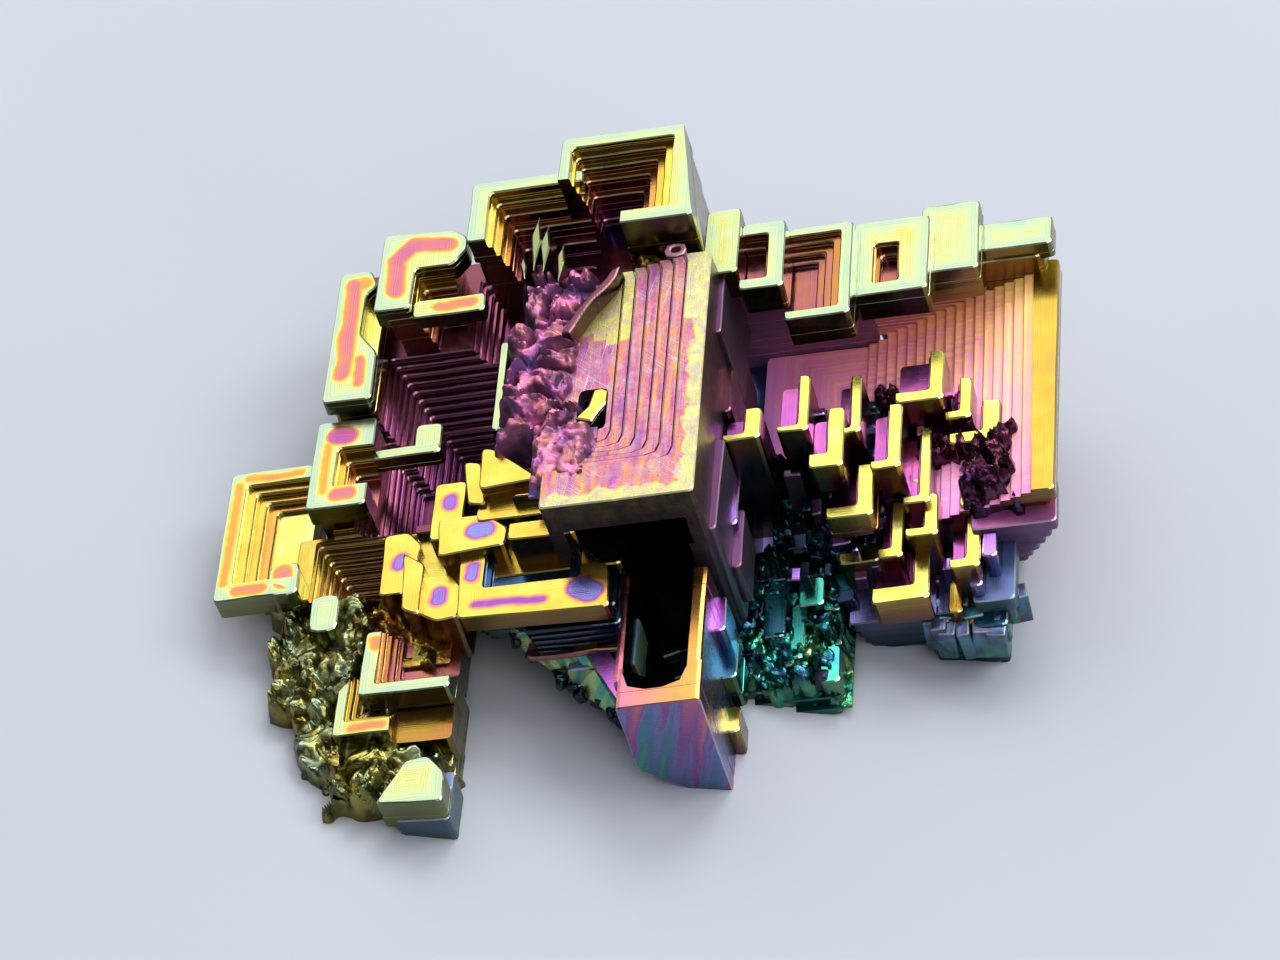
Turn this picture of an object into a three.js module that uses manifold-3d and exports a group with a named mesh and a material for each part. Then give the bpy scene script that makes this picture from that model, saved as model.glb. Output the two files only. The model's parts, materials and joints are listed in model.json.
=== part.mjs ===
// A hopper crystal cluster of bismuth, grown together as one piece.
//
// Bismuth grows as near-cubic skeletal crystals: the edges of each cube run
// ahead of its faces, so every face is left as a funnel of square steps.
// All the crystals here share one cubic lattice, so the cluster is laid out
// on three lattice axes, in millimetres:
//   u  along the rows of plates, to the right,
//   v  from the back row to the front,
//   w  down into the funnels, 0 on the roof of the middle crystal.
// The cluster lies tipped on its lowest corners, so the lattice is turned
// into the part's own frame, +Z up, where the resting surface is z = 0.

import * as THREE from 'three';
import { mergeVertices } from 'three/addons/utils/BufferGeometryUtils.js';
import Module from 'manifold-3d';

const wasm = await Module();
wasm.setup();

// ---------------------------------------------------------------- driving dimensions

const ROLL = 13.93;                 // degrees, the right of the lattice tipped up
const PITCH = 2.51;                 // degrees, the front of the lattice tipped down
const YAW = -4.29;                  // degrees, the lattice turned about the upright
const ORIGIN = [2.6, -7.15, 13.2];   // lattice origin in the part frame
const RUN_OUT = 1.2;                // how far a funnel runs out past an open side
const RUN_UP = 0.6;                 // how far a cut starts above the face it is cut in
const LAP = 0.2;                    // share of a layer's height that laps into the one above
const INSET = 0.55;                 // step of an underside funnel, sideways
const LIFT = 0.35;                  // step of an underside funnel, upwards
const BELOW = 3.0;                  // how far an underside cut starts below its face
const TABLE = 120.0;                // edge of the block that trims the feet flat
const WELD = 1e-4;                  // vertices closer than this are one
const CRYSTAL_COLOUR = 0xc9a24c;

// ---------------------------------------------------------------- lattice to part frame

const { degToRad } = THREE.MathUtils;

const axes = new THREE.Matrix4().makeBasis(
  new THREE.Vector3(1, 0, 0),
  new THREE.Vector3(0, -1, 0),
  new THREE.Vector3(0, 0, -1),
);
const turn = new THREE.Matrix4().makeRotationZ(degToRad(YAW))
  .multiply(new THREE.Matrix4().makeRotationY(degToRad(-ROLL)))
  .multiply(new THREE.Matrix4().makeRotationX(degToRad(PITCH)));
const latticeToPart = new THREE.Matrix4().makeTranslation(...ORIGIN).multiply(turn).multiply(axes);

// ---------------------------------------------------------------- solids

function solidOf(geometry) {
  geometry.deleteAttribute('normal');
  geometry.deleteAttribute('uv');
  const merged = mergeVertices(geometry, WELD);
  return new wasm.Manifold(new wasm.Mesh({
    numProp: 3,
    vertProperties: Float32Array.from(merged.attributes.position.array),
    triVerts: Uint32Array.from(merged.index.array),
  }));
}

function joined(solids) {
  return solids.reduce((sum, solid) => sum.add(solid));
}

// A block with its faces on lattice planes, from top down to foot.
function block([u0, u1, v0, v1], top, foot) {
  const geometry = new THREE.BoxGeometry(u1 - u0, v1 - v0, foot - top);
  geometry.translate((u0 + u1) / 2, (v0 + v1) / 2, (top + foot) / 2);
  return solidOf(geometry);
}

// A plate of any outline [u, v], from top down to foot.
function plate(outline, top, foot) {
  const shape = new THREE.Shape(outline.map(([u, v]) => new THREE.Vector2(u, v)));
  const geometry = new THREE.ExtrudeGeometry(shape, { depth: foot - top, bevelEnabled: false });
  geometry.translate(0, 0, top);
  return solidOf(geometry);
}

// A wall of any outline [u, w], from back to front.
function wall(outline, back, front) {
  const shape = new THREE.Shape(outline.map(([u, w]) => new THREE.Vector2(u, w)));
  const geometry = new THREE.ExtrudeGeometry(shape, { depth: front - back, bevelEnabled: false });
  geometry.rotateX(Math.PI / 2);
  geometry.translate(0, front, 0);
  return solidOf(geometry);
}

// The steps of a funnel: one cut inside the next, each deeper by its drop and
// narrower by the tread on every side that is not open.
//   area   [u0, u1, v0, v1] inside the rim
//   drops  how far each step goes down
//   tread  { l, r, b, f } width of a step on the left, right, back and front
//   open   letters of the sides where the funnel runs out through the rim
function steps(area, top, drops, tread, open = '') {
  const { l = 0, r = 0, b = 0, f = 0 } = tread;
  const cuts = [];
  let floor = top;
  drops.forEach((drop, k) => {
    floor += drop;
    cuts.push(block([
      open.includes('l') ? area[0] - RUN_OUT : area[0] + k * l,
      open.includes('r') ? area[1] + RUN_OUT : area[1] - k * r,
      open.includes('b') ? area[2] - RUN_OUT : area[2] + k * b,
      open.includes('f') ? area[3] + RUN_OUT : area[3] - k * f,
    ], top - RUN_UP, floor));
  });
  return joined(cuts);
}

// The body of a crystal: a stack of blocks from top down to foot, each narrower
// than the one above by its flare { l, r, b, f }, as the crystal grew outwards.
function body(area, top, foot, layers = 1, flare = {}) {
  const { l = 0, r = 0, b = 0, f = 0 } = flare;
  const rise = (foot - top) / layers;
  const stack = [];
  for (let k = 0; k < layers; k += 1) {
    const shrunk = [area[0] + k * l, area[1] - k * r, area[2] + k * b, area[3] - k * f];
    stack.push(block(shrunk, k ? top + (k - LAP) * rise : top, top + (k + 1) * rise));
  }
  return joined(stack);
}

// One hopper crystal: a body with its funnel cut.
function hopper({ area, top, foot, layers, flare, funnel, notch }) {
  let solid = body(area, top, foot, layers, flare);
  if (funnel) {
    solid = solid.subtract(steps(funnel.area, top, funnel.drops, funnel.tread, funnel.open));
  }
  if (notch) {
    solid = solid.subtract(block(notch.area, top - RUN_UP, notch.to));
  }
  return solid;
}

// ---------------------------------------------------------------- the back row, left funnel

// Six crystals in a row, each a step lower than the one to its right.
function backRow() {
  const highest = hopper({
    area: [-8.8, -0.8, -26.7, -19.3],
    top: -1.7,
    foot: 6.5,
    layers: 4,
    flare: { b: 0.7 },
    funnel: {
      area: [-8.1, -2.2, -25.9, -20.3],
      drops: [0.6, 0.6, 0.7, 1.0, 1.5, 1.6],
      tread: { l: 0.15, r: 0.6, b: 0.3 },
    },
    notch: { area: [-9.5, -4.9, -23.4, -18.5], to: 4.6 },
  }).subtract(plate([[-1.8, -27.5], [0.5, -27.5], [0.5, -19.0], [-0.8, -19.0]], -2.3, 7.0));
  const second = hopper({
    area: [-14.1, -7.6, -25.0, -20.4],
    top: -0.8,
    foot: 6.5,
    layers: 4,
    flare: { l: 0.2, b: 0.7 },
    funnel: {
      area: [-13.0, -7.5, -24.1, -20.4],
      drops: [0.7, 0.7, 0.9, 1.3, 1.5],
      tread: { l: 0.3, b: 0.3 },
      open: 'rf',
    },
  });
  const third = plate([
    [-19.4, -22.8], [-15.3, -22.6], [-14.5, -22.0], [-14.4, -20.9], [-15.1, -19.8],
    [-17.3, -19.8], [-17.3, -16.7], [-19.4, -16.7],
  ], 0.2, 1.5);
  const thirdBody = body([-19.0, -15.2, -22.3, -16.7], 0.9, 4.4, 2, { l: 0.4, b: 0.5 })
    .subtract(steps([-17.3, -14.0, -19.8, -17.6], 0.9, [0.7, 0.7, 0.8, 0.9],
      { l: 0.25, b: 0.4 }, 'rf'));
  const fourth = plate([
    [-22.1, -21.2], [-20.3, -21.2], [-19.8, -20.0], [-20.4, -19.3], [-20.4, -16.2],
    [-19.3, -14.7], [-19.3, -11.1], [-22.1, -11.1],
  ], 1.2, 2.3);
  const fifth = hopper({
    area: [-22.6, -19.2, -10.7, -4.2],
    top: 2.3,
    foot: 6.5,
    layers: 3,
    flare: { l: 0.45, f: 0.1 },
    funnel: {
      area: [-21.2, -19.2, -8.6, -5.8],
      drops: [0.7, 0.7, 0.7],
      tread: { l: 0.4, b: 0.5 },
      open: 'r',
    },
  });
  const lowest = hopper({
    area: [-27.7, -22.9, -8.7, 0.7],
    top: 3.4,
    foot: 4.9,
    funnel: {
      area: [-26.7, -22.9, -7.7, -0.5],
      drops: [0.35, 0.35, 0.35, 0.35],
      tread: { l: 0.55, b: 0.45, f: 0.1 },
      open: 'r',
    },
  });
  return [
    highest, second, third, thirdBody, fourth, fifth, lowest,
    body([-21.8, -19.5, -20.8, -11.4], 2.1, 6.8, 3, { l: 0.5, b: 0.5 }),
    // bars and small plates that bridge the funnel
    block([-17.3, -13.1, -17.7, -16.4], 0.7, 1.7),
    block([-19.2, -17.5, -13.3, -10.6], 1.8, 3.2),
    block([-19.4, -15.5, -8.7, -8.0], 2.9, 4.0),
    block([-17.0, -15.5, -10.2, -8.0], 2.9, 4.0),
    block([-24.6, -22.9, -1.5, 0.8], 3.4, 4.9),
    body([-26.6, -22.8, -7.8, -0.2], 4.7, 6.5, 2, { l: 0.7, b: 0.7, f: 0.4 }),
    block([-22.4, -20.8, 0.1, 2.7], 4.6, 6.6),
  ];
}

// ---------------------------------------------------------------- the deep left funnel

function leftFunnel() {
  const mass = body([-21.5, -7.7, -23.5, -3.0], 3.9, 10.2, 4, { l: 0.8, b: 0.8, f: 0.3 });
  const back = body([-9.0, -1.0, -23.5, -17.0], 3.9, 10.2, 4, { b: 0.8 });
  const front = body([-23.5, -5.0, -4.0, 0.5], 4.4, 7.9, 2, { l: 0.6, f: 0.8 });
  const wing = body([-25.0, -14.6, -2.0, 5.0], 5.0, 8.4, 3, { l: 0.7, f: 0.7 });
  const deep = steps([-17.2, -10.8, -16.6, -5.0], 3.9, [0.6, 0.6, 0.6, 2.6],
    { l: 0.4, r: 0.1, b: 0.5, f: 0.1 });
  const saddle = steps([-14.6, -7.8, -22.0, -16.0], 3.9, [0.7, 0.7], { l: 0.4, r: 0.3, b: 0.5 });
  const low = steps([-23.0, -16.6, -4.2, 4.2], 3.4, [0.7, 0.7, 0.7, 0.7, 0.6, 0.6],
    { l: 0.3, r: 0.1, b: 0.4 });
  return [joined([mass, back, front, wing]).subtract(joined([deep, saddle, low]))];
}

// ---------------------------------------------------------------- the middle crystal

// A roof of shallow steps over a deep cavity that opens to the front.
function middleCrystal() {
  const roof = hopper({
    area: [-8.5, 0.0, -18.0, 0.0],
    top: 0,
    foot: 11.4,
    funnel: {
      area: [-8.5, -1.35, -17.0, -0.9],
      drops: [0.2, 0.25, 0.25, 0.25, 0.25],
      tread: { r: 1.0, b: 0.3, f: 1.15 },
      open: 'l',
    },
  });
  const cavity = body([-7.6, -0.9, -9.5, RUN_OUT], 2.0, 10.4, 4, { r: 0.3, f: -1 });
  const hole = block([-7.1, -5.6, -9.3, -6.3], 0.0, 2.4);
  return [
    roof.subtract(cavity).subtract(hole),
    // the chip that stands in the broken hole
    plate([[-7.0, -7.2], [-6.2, -8.0], [-5.9, -9.2], [-5.5, -9.3], [-5.7, -7.6], [-6.4, -6.6]], 1.6, 2.1),
    // the rough lump on the funnel's side, with its thin bright wall
    block([-12.2, -8.0, -15.0, -5.2], 3.0, 9),
    block([-11.0, -8.0, -13.0, -7.0], 1.9, 9),
    block([-10.0, -7.6, -15.5, -11.0], 1.3, 9),
    block([-12.5, -12.0, -15.3, -8.6], 2.4, 9),
    block([-12.5, -10.2, -9.1, -8.6], 2.4, 9),
  ];
}

// ---------------------------------------------------------------- gold plates and front crystal

function goldPlates() {
  return [
    plate([[-12.7, -6.9], [-12.0, -6.7], [-9.2, -4.1], [-12.6, -3.8]], 1.9, 3.2),
    plate([[-13.9, -6.7], [-12.9, -6.5], [-12.4, -3.3], [-13.4, -3.5]], 2.6, 4.5),
    block([-12.9, -9.0, -5.6, -2.4], 2.9, 6),
    block([-15.6, -13.8, -5.8, -1.7], 3.2, 6),
    plate([[-15.1, -3.0], [-12.5, -3.0], [-11.1, -1.8], [-11.2, -0.6], [-14.9, -0.3]], 3.0, 6),
    plate([[-18.4, -3.2], [-17.0, -3.2], [-16.2, -2.2], [-16.9, 1.1], [-18.4, 1.1]], 4.0, 8),
    plate([[-17.2, -1.6], [-15.9, -0.6], [-15.9, 3.0], [-16.9, 2.5]], 3.8, 8),
    plate([[-16.1, 0.0], [-14.5, 0.0], [-13.8, 1.0], [-13.8, 3.1], [-15.0, 3.3], [-16.2, 2.5]], 4.2, 7.6),
  ];
}

function frontCrystal() {
  const upper = hopper({
    area: [-10.8, -7.0, -3.4, -0.1],
    top: 2.2,
    foot: 6,
    funnel: {
      area: [-10.8, -7.9, -3.2, -1.3],
      drops: [0.6, 0.6, 0.6],
      tread: { r: 0.6 },
      open: 'l',
    },
  });
  const outline = [
    [-13.8, -0.6], [-12.4, -0.6], [-12.3, -0.2], [-8.3, -1.7], [-5.4, 1.5], [-5.2, 4.3], [-13.6, 3.9],
  ];
  const lower = plate(outline, 3.5, 4.7)
    .subtract(steps([-12.3, -7.0, -2.5, 1.9], 3.5, [0.5, 0.5], { l: 0.3, r: 0.7, f: 0.1 }));
  const neck = block([-13.2, -5.2, -2.0, 3.4], 4.5, 7.4);
  const ledge = block([-10.3, -4.7, -2.0, 6.0], 5.4, 7.2);
  return [upper, lower, neck, ledge];
}

// ---------------------------------------------------------------- the keel under the front

// A blade that reaches down to the resting surface, hollow from above, with a
// staircase of smaller blades that climbs back to the left.
function keel() {
  const blade = wall(
    [[-5.0, 5.4], [-0.4, 5.4], [-0.4, 18.0], [-1.2, 13.4], [-3.0, 11.6], [-5.0, 9.4]], 7.0, 9.8);
  const back = wall([[-6.0, 5.4], [-0.4, 5.4], [-0.4, 14.5], [-3.0, 13.2], [-6.0, 11.0]], 0.5, 8.0);
  const hollow = [
    block([-4.6, -1.2, 1.2, 8.9], 4.8, 9.2),
    block([-4.4, -1.3, 1.5, 7.6], 4.8, 10.8),
    block([-4.0, -1.5, 1.8, 6.0], 4.8, 12.2),
  ];
  const corner = block([-5.5, -4.6, 5.9, 10.0], 4.8, 6.2);
  return [
    joined([blade, back]).subtract(joined(hollow)).subtract(corner),
    wall([[-8.4, 6.6], [-4.6, 6.6], [-4.6, 9.8], [-8.4, 8.0]], 3.0, 8.4),
    wall([[-9.8, 6.2], [-6.0, 6.2], [-6.0, 9.0], [-9.8, 7.4]], 2.0, 7.2),
    wall([[-11.0, 5.6], [-6.0, 5.6], [-6.0, 9.5], [-9.0, 8.4], [-11.0, 7.0]], -4.0, 5.6),
  ];
}

// ---------------------------------------------------------------- the lower left wing

function leftWing() {
  const upper = hopper({
    area: [-19.2, -14.1, 2.8, 7.3],
    top: 5.0,
    foot: 7.8,
    funnel: {
      area: [-18.3, -14.1, 2.8, 6.5],
      drops: [0.4, 0.5, 0.5],
      tread: { l: 0.4, f: 0.4 },
      open: 'rb',
    },
  });
  const lower = hopper({
    area: [-20.5, -14.2, 5.4, 9.6],
    top: 5.4,
    foot: 8.6,
    funnel: {
      area: [-19.9, -14.1, 5.4, 8.6],
      drops: [0.5, 0.4, 0.4],
      tread: { l: 0.4, f: 0.5 },
      open: 'rb',
    },
    notch: { area: [-17.4, -14.0, 7.0, 10.0], to: 6.5 },
  });
  return [
    upper, lower,
    body([-24.6, -19.5, 1.5, 6.6], 5.6, 9.0, 3, { l: 0.7, f: 0.4 }),
    body([-22.0, -14.4, 5.0, 10.8], 6.6, 9.6, 3, { l: 0.7, f: 0.2 }),
    body([-19.6, -14.4, 8.0, 12.6], 7.0, 10.4, 3, { l: 0.8, f: 0.2 }),
    plate([[-16.5, 11.2], [-15.2, 11.0], [-14.2, 12.2], [-14.2, 14.2], [-17.9, 13.9]], 6.1, 8.2),
    plate([[-17.0, 11.2], [-14.2, 11.0], [-14.2, 14.2], [-17.2, 14.0]], 8.0, 9.1),
    plate([[-16.2, 11.2], [-14.2, 11.0], [-14.2, 14.2], [-16.2, 14.1]], 9.0, 14.0),
  ];
}

// ---------------------------------------------------------------- the right hopper

// Thin crystals on a back wall, which overhang the stepped floor of the funnel.
function skyline() {
  return [
    hopper({ area: [-0.9, 1.1, -22.6, -17.6], top: 1.5, foot: 3.6 }),
    hopper({
      area: [1.1, 3.6, -21.7, -16.6],
      top: 2.0,
      foot: 4.0,
      funnel: {
        area: [1.1, 2.6, -20.8, -17.4],
        drops: [0.8, 0.7],
        tread: { r: 0.3, b: 0.3 },
        open: 'l',
      },
    }),
    hopper({
      area: [3.5, 7.2, -21.9, -14.9],
      top: 3.0,
      foot: 5.2,
      funnel: {
        area: [3.5, 6.5, -21.3, -15.5],
        drops: [0.35, 0.35, 0.35, 0.35],
        tread: { r: 0.5, b: 0.4, f: 0.1 },
        open: 'l',
      },
    }),
    hopper({
      area: [7.0, 11.3, -22.7, -17.0],
      top: 4.0,
      foot: 6.1,
      funnel: {
        area: [8.2, 9.6, -20.9, -17.9],
        drops: [0.6, 0.6],
        tread: { l: 0.3, r: 0.2, b: 0.4 },
      },
    }),
    hopper({ area: [10.6, 13.9, -24.4, -19.1], top: 5.0, foot: 7.4, layers: 2, flare: { b: 0.6 } }),
    hopper({ area: [13.7, 17.8, -23.6, -21.5], top: 6.2, foot: 10.0, layers: 3, flare: { r: 0.6, b: 0.4 } }),
    // the back wall that carries them
    body([-1.2, 6.9, -22.4, -21.0], 3.6, 12.8, 5, { b: 0.3 }),
    body([6.9, 13.6, -23.2, -21.4], 6.0, 13.4, 5, { b: 0.4 }),
    body([13.5, 17.0, -23.0, -21.4], 7.0, 13.4, 4, { r: 0.6, b: 0.4 }),
  ];
}

// The floor of the right funnel: long steps that fall to the left.
function rightFunnel() {
  return [hopper({
    area: [0.2, 17.7, -22.4, -4.8],
    top: 8.2,
    foot: 16.8,
    layers: 8,
    flare: { r: 0.42, b: 0.5, f: 0.4 },
    funnel: {
      area: [0.2, 16.4, -21.6, -4.8],
      drops: [0.4, 0.42, 0.42, 0.42, 0.42, 0.42, 0.42, 0.42, 0.42],
      tread: { r: 1.2, b: 0.05 },
      open: 'lf',
    },
  })];
}

// Slender crystals that stand up out of the right hopper, most of them one
// corner of a rim: an arm on the right and a shorter one across the front.
function columns() {
  const corners = [
    // area, top, foot, arm width, front arm
    [[9.0, 11.7, -15.0, -11.3], 7.0, 13, 0.8, 0.8],
    [[11.6, 13.1, -13.6, -10.6], 8.0, 13, 0.7, 0.6],
    [[11.8, 14.6, -12.2, -9.2], 8.5, 13, 1.0, 0.8],
    [[2.9, 4.7, -12.4, -8.3], 5.0, 14, 0.6, 0.4],
    [[6.0, 7.4, -12.9, -8.6], 6.0, 14, 0.6, 0.4],
    [[0.2, 2.3, -9.4, -7.1], 4.0, 14, 0.9, 0.5],
    [[4.7, 6.6, -10.1, -5.8], 5.5, 7.6, 0.9, 1.0],
    [[7.8, 9.5, -11.3, -6.6], 7.0, 14, 0.8, 0.6],
    [[9.3, 10.8, -10.7, -5.2], 8.5, 14, 0.6, 0.5],
    [[9.4, 11.2, -6.2, -3.2], 9.0, 14, 0.8, 0.6],
    [[5.3, 7.9, -7.5, -3.8], 7.5, 9.2, 0.9, 0.8],
    [[7.8, 9.2, -6.3, -2.3], 9.5, 14, 0.7, 0.7],
    [[7.3, 10.5, -4.5, 0.0], 10.5, 12.4, 0.9, 1.1],
    [[12.2, 14.5, -7.0, -5.4], 9.5, 14, 0.9, 0.8],
    [[11.6, 13.3, -6.0, -1.6], 10.2, 15, 0.8, 0.7],
    [[5.3, 7.6, -4.8, -3.6], 11.0, 14, 1.2, 0.8],
  ];
  return corners.map(([area, top, foot, arm, front]) => hopper({
    area,
    top,
    foot,
    funnel: {
      area: [area[0], area[1] - arm, area[2], area[3] - front],
      drops: [0.5, 0.5],
      tread: { r: 0.2 },
      open: 'lb',
    },
  }));
}

// Lower terraces that carry the right funnel down to its foot.
function rightFoot() {
  return [
    body([12.8, 17.1, -7.2, -3.3], 10.4, 14.0, 5, { r: 0.35, f: 0.3 }),
    body([12.6, 14.9, -9.0, -0.6], 12.0, 14.0, 2, { r: 0.2, f: 0.1 }),
    block([12.4, 14.3, -1.6, 0.3], 13.0, 14.6),
    body([9.6, 14.0, -8.0, -0.4], 13.6, 18.0, 4, { l: 0.1, r: 0.1, b: 0.3 }),
    body([5.6, 11.4, -8.0, -0.6], 12.6, 15.6, 4, { l: 0.2, b: 0.3, f: 0.2 }),
    block([-1.0, 13.5, -21.0, -4.2], 12.4, 14.8),
    block([-2.0, 6.0, -6.0, -2.6], 12.4, 14.2),
    // small crystals between the keel and the right foot
    body([-1.8, 5.3, -3.2, 3.2], 13.0, 14.6, 3, { r: 0.1, f: -0.4 }),
    block([2.5, 3.3, -2.2, 1.7], 12.2, 14),
    block([1.0, 2.2, -3.0, 0.2], 12.0, 14),
    block([-1.4, 0.9, 0.0, 2.7], 12.4, 14),
    block([4.2, 5.3, 1.0, 3.5], 12.4, 14.4),
    block([3.0, 4.4, -3.4, -1.4], 11.6, 14),
  ];
}

// Slender crystals on the right face of the middle crystal and of the keel.
function sideCrystals() {
  return [
    block([-0.2, 0.3, -19.5, -13.6], 2.0, 8),
    block([-0.2, 0.8, -13.0, -8.6], 4.2, 9),
    block([-0.2, 0.7, -6.9, -0.3], 3.5, 11),
    block([0.6, 1.5, -5.2, 0.5], 5.5, 9.0),
    block([0.0, 0.9, -8.8, -6.2], 6.4, 12.6),
    block([-0.6, 0.1, 0.8, 3.2], 7.6, 12),
    block([-0.6, 0.4, 2.4, 5.0], 9.4, 12),
    block([-0.6, 0.2, 5.4, 7.2], 11.3, 14),
  ];
}

// Stepped stumps under the back, where the cluster rests.
function rearFeet() {
  return [
    body([-14.0, -7.0, -20.5, -15.0], 9.8, 12.6, 3, { l: 0.5, r: 0.5, b: 0.4, f: 0.4 }),
    body([6.0, 13.0, -19.5, -13.0], 14.6, 18.0, 3, { l: 0.6, r: 0.4, b: 0.5, f: 0.5 }),
  ];
}

// Shallow funnels on the underside, cut upwards from the face they open in.
function undersideFunnels() {
  return joined([
    { area: [-18.0, -14.6, -14.0, -5.0], foot: 10.2, count: 3 },
    { area: [-7.4, -1.2, -16.5, -10.4], foot: 11.4, count: 4 },
    { area: [1.0, 5.2, -18.5, -7.0], foot: 14.8, count: 4 },
    { area: [-21.6, -17.2, -0.8, 2.6], foot: 8.4, count: 1 },
  ].flatMap(({ area: [u0, u1, v0, v1], foot, count }) => {
    const cuts = [];
    for (let k = 0; k < count; k += 1) {
      const inset = INSET * k;
      const area = [u0 + inset, u1 - inset, v0 + inset, v1 - inset];
      cuts.push(block(area, foot - LIFT * (k + 1), foot + BELOW));
    }
    return cuts;
  }));
}

// ---------------------------------------------------------------- the whole cluster

function geometryOf(solid) {
  const { vertProperties, triVerts } = solid.getMesh();
  const geometry = new THREE.BufferGeometry();
  geometry.setAttribute('position', new THREE.BufferAttribute(vertProperties, 3));
  geometry.setIndex(new THREE.BufferAttribute(triVerts, 1));
  return geometry;
}

const grown = joined([
  ...leftFunnel(), ...backRow(), ...middleCrystal(), ...goldPlates(), ...frontCrystal(),
  ...keel(), ...leftWing(), ...skyline(), ...rightFunnel(), ...columns(), ...rightFoot(),
  ...sideCrystals(), ...rearFeet(),
]).subtract(undersideFunnels());
const tipped = solidOf(geometryOf(grown).applyMatrix4(latticeToPart));
const table = new THREE.BoxGeometry(TABLE, TABLE, TABLE).translate(0, 0, -TABLE / 2);
const rested = geometryOf(tipped.subtract(solidOf(table)));
rested.computeVertexNormals();

const crystal = new THREE.Mesh(rested, new THREE.MeshStandardMaterial({
  color: CRYSTAL_COLOUR, roughness: 0.2, metalness: 1.0, flatShading: true,
}));
crystal.name = 'bismuth_crystal';

const part = new THREE.Group();
part.add(crystal);

export default part;
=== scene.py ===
"""A hopper crystal cluster of bismuth, dressed with its oxide film, on a pale floor.

Every crystal is a terraced surface: a square outline carried down a profile of
drops and treads. The crystals share one cubic lattice, whose axes are
    u  along the rows of plates, to the right,
    v  from the back row to the front,
    w  down into the funnels, 0 on the roof of the middle crystal,
and sizes along it are in millimetres. The meshes are turned into the part's
own frame, in metres, as they are made.
"""
import json
import logging
import math
from dataclasses import dataclass, replace
from enum import Enum
from functools import reduce

import bpy
import numpy as np
from bpy.types import Collection, Material, Mesh, Node, NodeTree, Object
from bpy.types import NodeSocket as Socket
from mathutils import Matrix, Vector

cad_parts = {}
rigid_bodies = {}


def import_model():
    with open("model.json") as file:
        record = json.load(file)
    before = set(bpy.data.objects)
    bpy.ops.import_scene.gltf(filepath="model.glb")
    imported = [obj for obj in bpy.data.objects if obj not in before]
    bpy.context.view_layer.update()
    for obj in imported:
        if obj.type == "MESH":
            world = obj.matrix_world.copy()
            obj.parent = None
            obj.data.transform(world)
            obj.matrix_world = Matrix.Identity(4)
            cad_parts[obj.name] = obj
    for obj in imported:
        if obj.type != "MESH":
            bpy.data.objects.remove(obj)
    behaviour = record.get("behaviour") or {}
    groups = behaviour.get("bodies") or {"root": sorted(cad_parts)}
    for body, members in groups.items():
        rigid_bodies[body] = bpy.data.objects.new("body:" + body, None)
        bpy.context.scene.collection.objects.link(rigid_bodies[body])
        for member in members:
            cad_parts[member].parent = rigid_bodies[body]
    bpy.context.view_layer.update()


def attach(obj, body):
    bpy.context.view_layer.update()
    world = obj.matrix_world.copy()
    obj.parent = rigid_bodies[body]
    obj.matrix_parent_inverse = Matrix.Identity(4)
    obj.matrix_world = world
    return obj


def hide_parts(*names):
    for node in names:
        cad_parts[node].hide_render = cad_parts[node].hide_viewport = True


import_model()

LOG = logging.getLogger("bismuth")

# ---- the lattice

MM = 0.001
ROLL, PITCH, YAW = 13.93, 2.51, -4.29          # degrees, how the lattice is tipped
ORIGIN = np.array([2.6, -7.15, 13.2])          # lattice origin in the part frame, mm
SEED = 83
CRUST_SEED = 1000      # keeps the crusts' random draws apart from the sub-assemblies'
NODE = "bismuth_crystal"

Array = np.ndarray
Rng = np.random.Generator
Pair = tuple[float, float]                      # a range, or a place u, v
Area = tuple[float, float, float, float]        # u0, u1, v0, v1
Triple = tuple[float, float, float]             # a colour, a direction or a place
Value = Socket | float | Triple                 # what goes into a socket


def lattice_axes() -> Array:
    """The directions of u, v and w in the part frame, as the columns of a matrix.

    Returns:
        A 3 by 3 rotation: yaw about the upright, then roll, then pitch, after
        the half turn about u that points v forwards and w down.
    """
    turn = (Matrix.Rotation(math.radians(YAW), 3, "Z")
            @ Matrix.Rotation(math.radians(-ROLL), 3, "Y")
            @ Matrix.Rotation(math.radians(PITCH), 3, "X"))
    return np.array(turn) @ np.diag([1.0, -1.0, -1.0])


AXES = lattice_axes()


def to_part(places: Array) -> Array:
    """Lattice places in millimetres, (n, 3), as part-frame places in metres."""
    return (places @ AXES.T + ORIGIN) * MM


# ---- named options

class Join(Enum):
    """How one solid is combined with others."""
    ADD = "UNION"
    CUT = "DIFFERENCE"


class Finish(Enum):
    """The finishes of the cluster, in the order of its material slots."""
    FILM = 0
    ROOF = 1
    KEEL = 2
    GROWTH = 3


# ---- small types

@dataclass(frozen=True)
class Sides:
    """One length for each of the four sides of a crystal."""
    left: float = 0.0
    right: float = 0.0
    back: float = 0.0
    front: float = 0.0

    def row(self) -> Array:
        """The four lengths as an array."""
        return np.array([self.left, self.right, self.back, self.front])


@dataclass(frozen=True)
class Coat:
    """How the oxide film lies on one crystal.

    The film is `tone` thick along the rim, thicker by `inward` a millimetre or
    so in from it, and thicker by `deepen` for each millimetre down. It is silver
    at 0, straw at 0.1, gold at 0.25, rose at 0.41, violet at 0.58, blue at 0.74,
    green at 0.9 and olive at 1. `drift` adds a slope along u and v. `ripple` is
    how far growth lines show, and `matte` how far the face has lost its mirror.
    `shade` is how bright the film is, and `painted_depth_shade` how much of that it loses for
    each millimetre down.
    """
    tone: float = 0.10
    inward: float = 0.0
    deepen: float = 0.05
    drift: Pair = (0.0, 0.0)
    ripple: float = 0.3
    matte: float = 0.0
    shade: float = 1.0
    # painted shade for each millimetre down, and painted light where it is below 0
    painted_depth_shade: float = 0.05


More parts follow.
